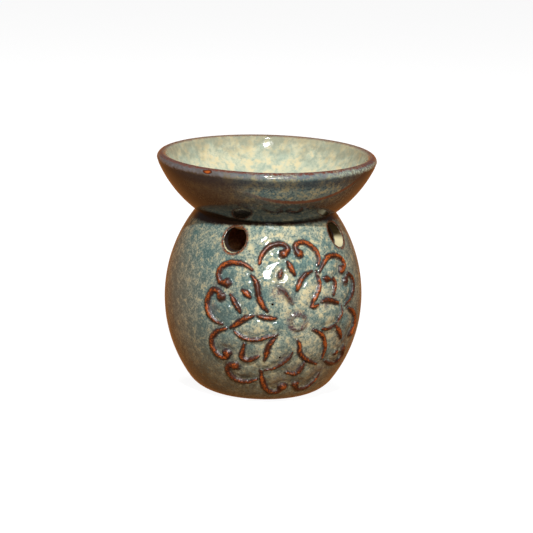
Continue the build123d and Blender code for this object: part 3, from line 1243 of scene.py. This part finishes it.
    def boss_lines(self) -> tuple[ClayLine, ...]:
        """Faint rolls of clay round the boss.

        Returns:
            The lines.
        """
        return (
            ClayLine(((3.6, 20), (3.7, 60), (3.5, 100), (3.8, 140), (3.7, 185)), 1.0, bareness=0.3, rise=0.3),
            ClayLine(((3.6, 225), (3.4, 265), (3.7, 310), (3.6, 350)), 0.8, bareness=0.2, rise=0.25),
        )

    def stains(self, points: np.ndarray) -> np.ndarray:
        """Where the glaze is stained with iron, round the boss and in the flower's hollows.

        Args:
            points: Points of the skin.

        Returns:
            How stained the glaze is at each point, from 0 to 1.
        """
        gap = np.linalg.norm(points - self.surface_place(0, 0), axis=1)
        stained = smooth_step(gap, 1.8, 3.0) * (1 - smooth_step(gap, 4.0, 6.4))
        for reach, bearing, size, share in (
            (16, 121, 5.0, 0.9),
            (22, 112, 3.4, 0.5),
            (11, 108, 3.6, 0.6),
            (4.5, 135, 3.5, 0.7),
            (16.5, 28, 3.6, 0.8),
            (22, 26, 3.0, 0.5),
            (24.5, -88, 5.0, 0.55),
            (18, -105, 4.0, 0.6),
            (30, -100, 5.0, 0.5),
            (31, -62, 6.0, 0.55),
            (30, -25, 6.0, 0.4),
            (35, 205, 4.0, 0.35),
            (40, 155, 3.5, 0.5),
            (40, 172, 3.5, 0.5),
        ):
            gap = np.linalg.norm(points - self.surface_place(reach, bearing), axis=1)
            stained = np.maximum(stained, share * (1 - smooth_step(gap, 0.2 * size, 1.2 * size)))
        return stained

    def swells(self) -> tuple[ClayLine, ...]:
        """Soft cushions of clay inside the petals and the scrolls.

        Returns:
            The cushions, as short broad lines.
        """
        petals = tuple(
            ClayLine(((10, bearing), (17, bearing), (24, bearing)), self.petal_half_width)
            for bearing in (188, 68, 6, -57, 240)
        )
        lobes = tuple(
            ClayLine(((reach - 3, bearing), (reach, bearing), (reach + 3, bearing)), self.lobe_half_width)
            for reach, bearing in (
                (34, 170), (30, 50), (29, 22),
                (30, -8), (30, -42), (29, 253), (28, 285), (33, 199), (33, 230),
            )
        )
        return petals + lobes

    def guide(self, name: str, lines: tuple[ClayLine, ...]) -> bpy.types.Object:
        """Guide whose edges run along lines on the pot, with their widths.

        Args:
            name: Name of the guide.
            lines: The lines.

        Returns:
            The guide, which is taken away once the pot has followed it.
        """
        points: list[np.ndarray] = []
        edges: list[tuple[int, int]] = []
        widths: list[float] = []
        bareness: list[float] = []
        rises: list[float] = []
        for line in lines:
            reaches, bearings = np.array(line.places, float).T
            turns = np.radians(bearings)
            flat = np.column_stack((reaches * np.cos(turns), reaches * np.sin(turns)))
            path = smooth_path(flat, self.line_steps)
            shares = np.linspace(0, 1, len(path))
            growth = 1 - self.tip_share
            fullness = self.tip_share + growth * smooth_step(shares, 0.0, self.taper_share)
            if line.ending is Ending.POINTED:
                fullness *= self.tip_share + growth * smooth_step(1 - shares, 0.0, self.taper_share)
            elif line.ending is Ending.DROP:
                fullness *= 1 + self.drop_growth * smooth_step(shares, self.drop_start, 1.0)
            start = len(points)
            for (x, y), full in zip(path, fullness):
                points.append(self.surface_place(math.hypot(x, y), math.degrees(math.atan2(y, x))))
                widths.append(line.half_width * self.line_width_share * full * MM)
                rises.append(line.rise * math.sqrt(full))
                bareness.append(line.bareness)
            edges += [(index, index + 1) for index in range(start, len(points) - 1)]
        mesh = bpy.data.meshes.new(name)
        mesh.from_pydata((np.array(points) * MM).tolist(), edges, [])
        guide = scene_object(name, mesh)
        for key, values in (("half_width", widths), ("bareness", bareness), ("rise_share", rises)):
            point_values(guide, key, values)
        return guide

    def vent_axes(self) -> list[np.ndarray]:
        """Level directions in which the vents leave the chamber.

        Returns:
            The directions, each with a length of one.
        """
        bearings = (self.vent_bearing, 180 - self.vent_bearing)
        angles = [math.radians(side * bearing) for side in (-1, 1) for bearing in bearings]
        return [np.array((math.sin(angle), -math.cos(angle), 0.0)) for angle in angles]

    def round_edges(self, points: np.ndarray, outside: np.ndarray) -> tuple[np.ndarray, np.ndarray]:
        """Draws the skin in along each opening, so that its edge is soft.

        Args:
            points: The skin's points.
            outside: Which of them are on the outside.

        Returns:
            The moved points, and how near each is to a vent, from 0 to 1.
        """
        moved = points.copy()
        near_vent = np.zeros(len(points))
        level = points * (1, 1, 0)
        inward = -level / np.maximum(np.linalg.norm(level, axis=1, keepdims=True), 1e-6)
        gaps = []
        for axis in self.vent_axes():
            offset = points - (0, 0, self.vent_height)
            ahead = offset @ axis
            beside = np.linalg.norm(offset - ahead[:, None] * axis, axis=1)
            beyond = np.where(ahead > 0, beside - self.vent_radius, np.inf)
            gaps.append((beyond, self.vent_edge_round))
            ring = 1 - smooth_step(beyond, self.vent_ring_start, self.vent_ring_width)
            near_vent = np.maximum(near_vent, ring)
        spring = self.floor + self.arch_height - self.arch_width / 2
        above = np.maximum(points[:, 2] - spring, 0)
        beyond = np.hypot(points[:, 0], above) - self.arch_width / 2
        beyond = np.where((points[:, 1] > 0) & (points[:, 2] > self.floor), beyond, np.inf)
        gaps.append((beyond, self.arch_edge_round))
        for beyond, round_radius in gaps:
            share = np.clip(1 - beyond / round_radius, 0, 1)
            depth = round_radius * (1 - np.sqrt(1 - share**2))
            moved += inward * (depth * outside)[:, None]
        return moved, near_vent * outside

    def cutter(self) -> bpy.types.Object:
        """Makes the shapes that the openings are cut with.

        Returns:
            One object with all the shapes.
        """
        shapes = bmesh.new()
        length = 2 * self.belly_radius
        for axis in self.vent_axes():
            turn = Vector((0, 0, 1)).rotation_difference(Vector(axis)).to_matrix().to_4x4()
            ahead = Vector(axis) * (length / 2 + self.cutter_gap)
            place = Matrix.Translation(ahead + Vector((0, 0, self.vent_height)))
            bmesh.ops.create_cone(
                shapes,
                cap_ends=True,
                segments=self.cutter_sides,
                radius1=self.vent_radius,
                radius2=self.vent_radius,
                depth=length,
                matrix=place @ turn,
            )
        half = self.arch_width / 2
        spring = self.floor + self.arch_height - half
        head = [
            (half * math.cos(angle), spring + half * math.sin(angle))
            for angle in np.linspace(0, math.pi, self.cutter_sides // 2 + 1)
        ]
        outline = [(-half, self.floor), (half, self.floor)] + head
        front = [shapes.verts.new((x, 0.0, z)) for x, z in outline]
        back = [shapes.verts.new((x, length, z)) for x, z in outline]
        shapes.faces.new(front)
        shapes.faces.new(back[::-1])
        for index in range(len(outline)):
            beside = (index + 1) % len(outline)
            shapes.faces.new((front[beside], front[index], back[index], back[beside]))
        bmesh.ops.scale(shapes, vec=(MM, MM, MM), verts=shapes.verts)
        bmesh.ops.recalc_face_normals(shapes, faces=shapes.faces)
        mesh = bpy.data.meshes.new("opening_cutter")
        shapes.to_mesh(mesh)
        shapes.free()
        return scene_object("opening_cutter", mesh)

    def raise_flower(self, pot: bpy.types.Object, material: bpy.types.Material) -> None:
        """Raises the cushions and then the lines of the flower on the pot's skin.

        Args:
            pot: The skin.
            material: The pot's material.
        """
        relief = ReliefTree()
        lines = self.petal_lines() + self.scroll_lines() + self.leaf_marks() + self.boss_lines()
        swell_guide = self.guide("swell_guide", self.swells())
        line_guide = self.guide("line_guide", lines)
        for guide, rise, groove, wobble, boss_rise in (
            (swell_guide, self.swell_rise, 0.0, 0.0, 0.0),
            (line_guide, self.line_rise, self.groove_depth, self.line_wobble, self.boss_rise),
        ):
            modifier = pot.modifiers.new(guide.name, "NODES")
            modifier.node_group = relief.tree
            for name, value in (
                ("Lines", guide),
                ("Rise", rise * MM),
                ("Groove Depth", groove * MM),
                ("Groove Width", self.groove_width * MM),
                ("Halo Width", self.halo_width * MM),
                ("Wobble", wobble * MM),
                ("Wobble Scale", 1 / (self.wobble_size * MM)),
                ("Boss Place", tuple(self.surface_place(0, 0) * MM)),
                ("Boss Radius", self.boss_radius * MM),
                ("Boss Rise", boss_rise * MM),
                ("Glaze", material),
            ):
                modifier[relief.sockets[name]] = value
        baked(pot)
        bpy.data.objects.remove(swell_guide)
        bpy.data.objects.remove(line_guide)

    def cut_openings(self, pot: bpy.types.Object) -> None:
        """Cuts the vents and the arch, and keeps how deep in the wall each point is.

        Args:
            pot: The pot, whose skin is closed before.
        """
        cutter = self.cutter()
        cutter.data.materials.append(BoreGlaze().material())
        boolean = pot.modifiers.new("openings", "BOOLEAN")
        boolean.operation = "DIFFERENCE"
        boolean.solver = "EXACT"
        boolean.object = cutter
        boolean.material_mode = "TRANSFER"
        baked(pot)
        bpy.data.objects.remove(cutter)
        pot.data.set_sharp_from_angle(angle=math.radians(self.crease_angle))
        line = np.array(self.wall_line())
        cut = object_points(pot)
        outer_radius = np.interp(cut[:, 2], line[:, 1], line[:, 0])
        point_values(pot, "wall_depth", outer_radius - np.hypot(cut[:, 0], cut[:, 1]))

    def build(self, glaze: PotGlaze) -> bpy.types.Object:
        """Makes the pot's skin, raises its flower and cuts its openings.

        Args:
            glaze: The pot's glaze.

        Returns:
            The finished pot.
        """
        outline, zones = self.outline()
        bearings = self.bearings()
        points, faces = turned_solid(outline, bearings)
        rings = np.repeat(zones[1:-1], len(bearings))
        outside = np.concatenate(([False], rings == Zone.OUTSIDE, [False]))
        chamber = np.concatenate(([False], rings == Zone.CHAMBER, [True]))
        pot = mesh_object("glazed_pot", points, faces)
        point_values(pot, "relief_share", outside)
        point_values(pot, "inside", chamber)
        point_values(pot, "stain", self.stains(points) * outside)
        self.raise_flower(pot, glaze.material())
        moved, near_vent = self.round_edges(object_points(pot), outside)
        pot.data.vertices.foreach_set("co", (moved * MM).ravel())
        point_values(pot, "vent_edge", near_vent)
        self.cut_openings(pot)
        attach(pot, "burner")
        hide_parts("burner_body", "flower_boss", *[
            f"{kind}_{number}"
            for kind in ("petal_lines", "scroll_lines", "leaf_marks")
            for number in range(1, 7)
        ])
        return pot


@dataclass
class OilDish:
    """The wide dish that holds water and oil."""

    neck_radius: float = 31.6
    neck_height: float = 83.3
    wall: float = 4.8
    rise: float = 26.0
    rim_radius: float = 50.0
    lip_band_height: float = 4.8
    lip_overhang: float = 0.8
    crest_round_height: float = 2.5
    inner_round_height: float = 1.5
    crest_inset_share: float = 0.46
    columns: int = 300
    spacing: float = 0.8

    def outline(self) -> tuple[list[Point], list[float], list[float]]:
        """Outline of the dish's section, from the bottom round the lip to the inside.

        Returns:
            Radius and height of each point, its distance round from the crest, and
            whether it is inside, as 0 or 1.
        """
        top = self.neck_height + self.rise
        edge = (self.rim_radius - self.lip_overhang, top - self.lip_band_height)
        crease = (self.neck_radius, self.neck_height)
        reach = edge[0] ** 2 + edge[1] ** 2 - crease[0] ** 2 - crease[1] ** 2
        middle = reach / (2 * (edge[1] - crease[1]))
        outer = math.dist(crease, (0, middle))
        inner = outer - self.wall
        inner_height = top - self.inner_round_height
        inner_radius = math.sqrt(inner**2 - (middle - inner_height) ** 2)
        crest = (self.rim_radius - self.crest_inset_share * (self.rim_radius - inner_radius), top)
        widest = (self.rim_radius, top - self.crest_round_height)
        under, _ = tangent_arc((0, middle - outer), (1, 0), edge)
        crown, heading = tangent_arc(widest, (0, 1), crest, 24)
        inward, _ = tangent_arc(crest, heading, (inner_radius, inner_height), 16)
        bowl, _ = tangent_arc((0, middle - inner), (1, 0), (inner_radius, inner_height))
        outside = respaced([(0, middle - outer)] + under, self.spacing)
        band = respaced([edge, widest], self.spacing)[1:]
        hollow = respaced(bowl[::-1] + [(0, middle - inner)], self.spacing)
        points = outside + band + crown + inward + hollow[1:]
        steps = np.hypot(*np.diff(np.array(points), axis=0).T)
        along = np.concatenate(([0], np.cumsum(steps)))
        crest_index = len(outside) + len(band) + len(crown) - 1
        reaches = along[crest_index] - along
        inside = [float(index > crest_index) for index in range(len(points))]
        return points, list(reaches), inside

    def build(self, glaze: DishGlaze) -> bpy.types.Object:
        """Makes the dish.

        Args:
            glaze: The dish's glaze.

        Returns:
            The finished dish.
        """
        outline, reaches, inside = self.outline()
        points, faces = turned_solid(outline, full_turn(self.columns))
        dish = mesh_object("glazed_dish", points, faces)
        for name, values in (("crest_reach", reaches), ("inside", inside)):
            rings = np.repeat(values[1:-1], self.columns)
            point_values(dish, name, np.concatenate(([values[0]], rings, [values[-1]])))
        dish.data.materials.append(glaze.material())
        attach(dish, "burner")
        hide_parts("oil_dish")
        return dish


@dataclass
class TeaLight:
    """The candle: a fluted cup, its wax and its wick."""

    radius: float = 19.0
    height: float = 15.5
    cup_wall: float = 0.4
    lip_width: float = 0.7
    lip_height: float = 0.9
    lip_start: float = 1.4
    lip_bevel: float = 0.2
    lip_bevel_width: float = 0.3
    heel_bevel: float = 1.0
    wax_depth: float = 13.0
    meniscus: float = 0.6
    meniscus_reach: float = 0.2
    wick_radius: float = 0.8
    flutes: int = 60
    flute_depth: float = 0.16
    wick_strands: int = 3
    wick_turns: float = 5.0
    wick_rings: int = 60
    wick_sides: int = 24
    strand_depth: float = 0.12
    columns: int = 360
    wax_columns: int = 96
    crease_angle: float = 40.0

    def seat(self) -> float:
        """Height of the cup's underside."""
        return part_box("tea_light_cup")[0][2] / MM

    def build_cup(self) -> bpy.types.Object:
        """Makes the thin cup, whose wall is pressed into flutes.

        Returns:
            The cup.
        """
        base = self.seat()
        rim = base + self.height
        outer, inner = self.radius, self.radius - self.cup_wall
        outline = [(0, base), (outer - self.heel_bevel, base), (outer, base + self.heel_bevel)]
        wall_height = self.height - self.lip_start
        outline += [(outer, base + share * wall_height) for share in (0.2, 0.4, 0.6, 0.8, 1.0)]
        lip = outer + self.lip_width
        outline += [(lip, rim - self.lip_height), (lip, rim - self.lip_bevel)]
        outline += [(lip - self.lip_bevel_width, rim)]
        outline += [(inner, rim - self.lip_bevel), (inner, base + self.cup_wall + 1)]
        outline += [(inner - 1, base + self.cup_wall), (0, base + self.cup_wall)]
        points, faces = turned_solid(outline, full_turn(self.columns))
        level = np.hypot(points[:, 0], points[:, 1])
        on_wall = (level > inner - 0.1) & (level < outer + 0.1)
        on_wall &= (points[:, 2] > base + self.heel_bevel + 0.1) & (points[:, 2] < rim - 1.0)
        wave = 0.5 - 0.5 * np.cos(self.flutes * np.arctan2(points[:, 0], -points[:, 1]))
        shrink = 1 - on_wall * wave * self.flute_depth / self.radius
        points[:, :2] *= shrink[:, None]
        cup = mesh_object("candle_cup", points, faces)
        cup.data.set_sharp_from_angle(angle=math.radians(self.crease_angle))
        finish = PlainFinish("pressed_aluminium", tint(0.88, 0.89, 0.92), tint(0.78, 0.79, 0.82), 0.3, 0.45)
        cup.data.materials.append(finish.material())
        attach(cup, "tea_light")
        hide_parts("tea_light_cup")
        return cup

    def build_wax(self) -> bpy.types.Object:
        """Makes the wax, drawn up a little at the wall and round the wick.

        Returns:
            The wax.
        """
        base = self.seat() + self.cup_wall
        edge = self.radius - self.cup_wall - self.flute_depth
        top = base + self.wax_depth
        outline = [(0, base), (edge - 1, base), (edge, base + 1), (edge, top)]
        for share in (0.97, 0.93, 0.85, 0.7, 0.5, 0.3, 0.18, 0.1, 0.06):
            near_wall = max(1 - (1 - share) / self.meniscus_reach, 0)
            near_wick = max(1 - share / self.meniscus_reach, 0)
            draw = near_wall**2 + near_wick**2
            outline.append((edge * share, top - self.meniscus * (1 - draw)))
        outline.append((0, top))
        wax = mesh_object("candle_wax", *turned_solid(outline, full_turn(self.wax_columns)))
        light, dark = tint(0.93, 0.91, 0.86), tint(0.88, 0.85, 0.78)
        finish = PlainFinish("poured_wax", light, dark, 0.45, grain_size=6.0, glow_through=0.4)
        wax.data.materials.append(finish.material())
        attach(wax, "tea_light")
        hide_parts("tea_light_wax")
        return wax

    def build_wick(self) -> bpy.types.Object:
        """Makes the wick of twisted strands, with a blunt tip.

        Returns:
            The wick.
        """
        low, high = (corner[2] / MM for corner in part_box("tea_light_wick"))
        rings, sides = self.wick_rings, self.wick_sides
        points = [(0.0, 0.0, low)]
        for ring in range(rings + 1):
            share = ring / rings
            height = low + share * (high - low)
            tip = 1 - 0.5 * smooth_step(np.array(share), 0.96, 1.0)
            for side in range(sides):
                angle = 2 * math.pi * side / sides
                strand = math.cos(self.wick_strands * (angle - 2 * math.pi * self.wick_turns * share))
                radius = self.wick_radius * (1 - self.strand_depth * (1 - strand)) * tip
                points.append((radius * math.cos(angle), radius * math.sin(angle), height))
        points.append((0.0, 0.0, high))
        top = len(points) - 1
        faces = []
        for side in range(sides):
            beside = (side + 1) % sides
            faces.append((0, 1 + beside, 1 + side))
            faces.append((top, top - sides + side, top - sides + beside))
            for ring in range(rings):
                start = 1 + ring * sides
                faces.append((start + side, start + beside, start + sides + beside, start + sides + side))
        wick = mesh_object("candle_wick", np.array(points), faces)
        light, dark = tint(0.90, 0.87, 0.79), tint(0.76, 0.72, 0.62)
        finish = PlainFinish("waxed_cotton", light, dark, 0.8, grain_size=0.3)
        wick.data.materials.append(finish.material())
        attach(wick, "tea_light")
        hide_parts("tea_light_wick")
        return wick

    def dress_tab(self) -> bpy.types.Object:
        """Gives the wick's tab its metal.

        Returns:
            The tab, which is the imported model's own.
        """
        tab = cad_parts["wick_sustainer"]
        finish = PlainFinish("tinned_steel", tint(0.74, 0.74, 0.77), tint(0.60, 0.60, 0.63), 0.35, 0.5)
        tab.data.materials.clear()
        tab.data.materials.append(finish.material())
        return tab


@dataclass(frozen=True)
class Lamp:
    """Flat oval lamp that faces the burner, with its angles in degrees and its power in watts."""

    name: str
    bearing: float
    elevation: float
    distance: float
    size: Point
    power: float
    colour: Place = (1.0, 1.0, 1.0)
    mirrored: bool = True
    turn: float = 0.0


@dataclass
class Studio:
    """Floor, light and camera."""

    aim_height: float = 50.0
    camera_distance: float = 1100.0
    camera_bearing: float = -20.5
    camera_elevation: float = 13.53
    camera_roll: float = 1.61
    focal_pixels: float = 2389.5
    aim_pixel_x: float = 263.5
    aim_pixel_y: float = 279.8
    sensor: float = 36.0
    floor_half: float = 4000.0
    card_radius: float = 1500.0
    card_gap: float = 0.5
    card_height: float = 1500.0
    card_colour: Colour = tint(0.66, 0.42, 0.23)
    card_upper: Colour = tint(0.30, 0.30, 0.31)
    card_fade: Span = (150.0, 600.0)
    card_columns: int = 48
    unseen_world: float = 0.04
    floor_glow: float = 0.93
    floor_unseen: Colour = tint(0.38, 0.30, 0.22)
    floor_seen: Colour = tint(0.42, 0.42, 0.42)
    warm_light: Place = (1.0, 0.62, 0.36)

    def direction(self, bearing: float, elevation: float) -> Vector:
        """Direction from the burner to a place round it, both angles in degrees."""
        turn, lift = math.radians(bearing), math.radians(elevation)
        return Vector((math.sin(turn) * math.cos(lift), -math.cos(turn) * math.cos(lift), math.sin(lift)))

    def around(self, bearing: float, elevation: float, distance: float) -> Vector:
        """Place at this distance from the burner's middle, in metres."""
        return Vector((0, 0, self.aim_height * MM)) + self.direction(bearing, elevation) * distance * MM

    def camera(self) -> None:
        """Puts the camera where the photograph was taken from."""
        data = bpy.data.cameras.new("camera")
        data.sensor_width = self.sensor
        data.lens = self.sensor * self.focal_pixels / PHOTO_PIXELS
        data.shift_x = (PHOTO_PIXELS / 2 - self.aim_pixel_x) / PHOTO_PIXELS
        data.shift_y = (self.aim_pixel_y - PHOTO_PIXELS / 2) / PHOTO_PIXELS
        back = self.direction(self.camera_bearing, self.camera_elevation)
        level = Vector((0, 0, 1)).cross(back).normalized()
        upward = back.cross(level)
        roll = math.radians(self.camera_roll)
        right = level * math.cos(roll) + upward * math.sin(roll)
        top = upward * math.cos(roll) - level * math.sin(roll)
        turn = Matrix((right, top, back)).transposed().to_4x4()
        place = self.around(self.camera_bearing, self.camera_elevation, self.camera_distance)
        made = scene_object("camera", data)
        made.matrix_world = Matrix.Translation(place) @ turn
        bpy.context.scene.camera = made

    def world(self) -> None:
        """White backdrop with a weaker light from all round."""
        world = bpy.data.worlds.new("backdrop")
        world.use_nodes = True
        nodes = Nodes(world.node_tree)
        level = nodes.node("ShaderNodeMapRange", {"Value": nodes.seen(), "To Min": self.unseen_world})
        given = {"Color": (1.0, 1.0, 1.0, 1.0), "Strength": level.outputs["Result"]}
        background = nodes.node("ShaderNodeBackground", given)
        nodes.node("ShaderNodeOutputWorld", {"Surface": background.outputs[0]})
        bpy.context.scene.world = world

    def light(self, lamp: Lamp) -> None:
        """Hangs one lamp, which faces the burner.

        Args:
            lamp: The lamp.
        """
        data = bpy.data.lights.new(lamp.name, "AREA")
        data.shape = "ELLIPSE"
        data.size, data.size_y = lamp.size[0] * MM, lamp.size[1] * MM
        data.energy = lamp.power
        data.color = lamp.colour
        made = scene_object(lamp.name, data)
        made.visible_glossy = lamp.mirrored
        made.location = self.around(lamp.bearing, lamp.elevation, lamp.distance)
        facing = self.direction(lamp.bearing, lamp.elevation).to_track_quat("Z", "Y")
        made.rotation_euler = (facing @ Quaternion((0, 0, 1), math.radians(lamp.turn))).to_euler()

    def card(self) -> None:
        """Round of warm card about the stage, that only shows as a reflection in the glaze."""
        radius, low, high = self.card_radius, self.card_gap, self.card_height
        outline = [(0.0, low), (radius, low), (radius, high), (0.0, high)]
        made = mesh_object("warm_card", *turned_solid(outline, full_turn(self.card_columns)))
        sheet = Sheet("warm_card")
        colour = sheet.mix(sheet.step(sheet.along("Z"), *self.card_fade), self.card_colour, self.card_upper)
        glow = sheet.node("ShaderNodeEmission", {"Color": colour, "Strength": 1.0})
        made.data.materials.append(sheet.closed(glow.outputs[0]))
        made.visible_camera = False
        made.visible_diffuse = False
        made.visible_shadow = False
        made.visible_transmission = False

    def floor(self) -> None:
        """Pale floor that is white to the camera and keeps the burner's shadow."""
        half = self.floor_half
        corners = np.array([(-half, -half, 0), (half, -half, 0), (half, half, 0), (-half, half, 0)])
        made = mesh_object("floor", corners, [(0, 1, 2, 3)])
        sheet = Sheet("pale_floor")
        seen = sheet.seen()
        given = {"Color": (1.0, 1.0, 1.0, 1.0), "Strength": sheet.times(seen, self.floor_glow)}
        glow = sheet.node("ShaderNodeEmission", given).outputs[0]
        colour = sheet.mix(seen, self.floor_unseen, self.floor_seen)
        lit = sheet.node("ShaderNodeBsdfDiffuse", {"Color": colour}).outputs[0]
        both = sheet.node("ShaderNodeAddShader", {0: lit, 1: glow}).outputs[0]
        made.data.materials.append(sheet.closed(both))

    def build(self) -> None:
        """Sets the stage up round the burner."""
        self.camera()
        self.world()
        self.floor()
        for lamp in (
            Lamp("key_light", self.camera_bearing, 47, 1000, (50, 22), 10.0),
            Lamp("front_light", -10, 24, 1000, (420, 130), 5.0, turn=27),
            Lamp("rear_light", 155, 50, 1000, (300, 300), 6.0, mirrored=False),
            Lamp("warm_left", -110, 8, 700, (400, 400), 1.3, self.warm_light, mirrored=False),
            Lamp("warm_right", 75, 8, 700, (400, 400), 0.9, self.warm_light, mirrored=False),
        ):
            self.light(lamp)
        self.card()


def main() -> None:
    """Builds the burner and its stage, and reports each piece."""
    logging.basicConfig(level=logging.INFO, format="%(name)s: %(message)s")
    bpy.context.scene.view_settings.view_transform = "Standard"
    Studio().build()
    candle = TeaLight()
    pieces = [
        Pot().build(PotGlaze()),
        OilDish().build(DishGlaze()),
        candle.build_cup(),
        candle.build_wax(),
        candle.build_wick(),
        candle.dress_tab(),
    ]
    for piece in pieces:
        log.info("%s: %d faces", piece.name, len(piece.data.polygons))


if __name__ == "__main__":
    main()
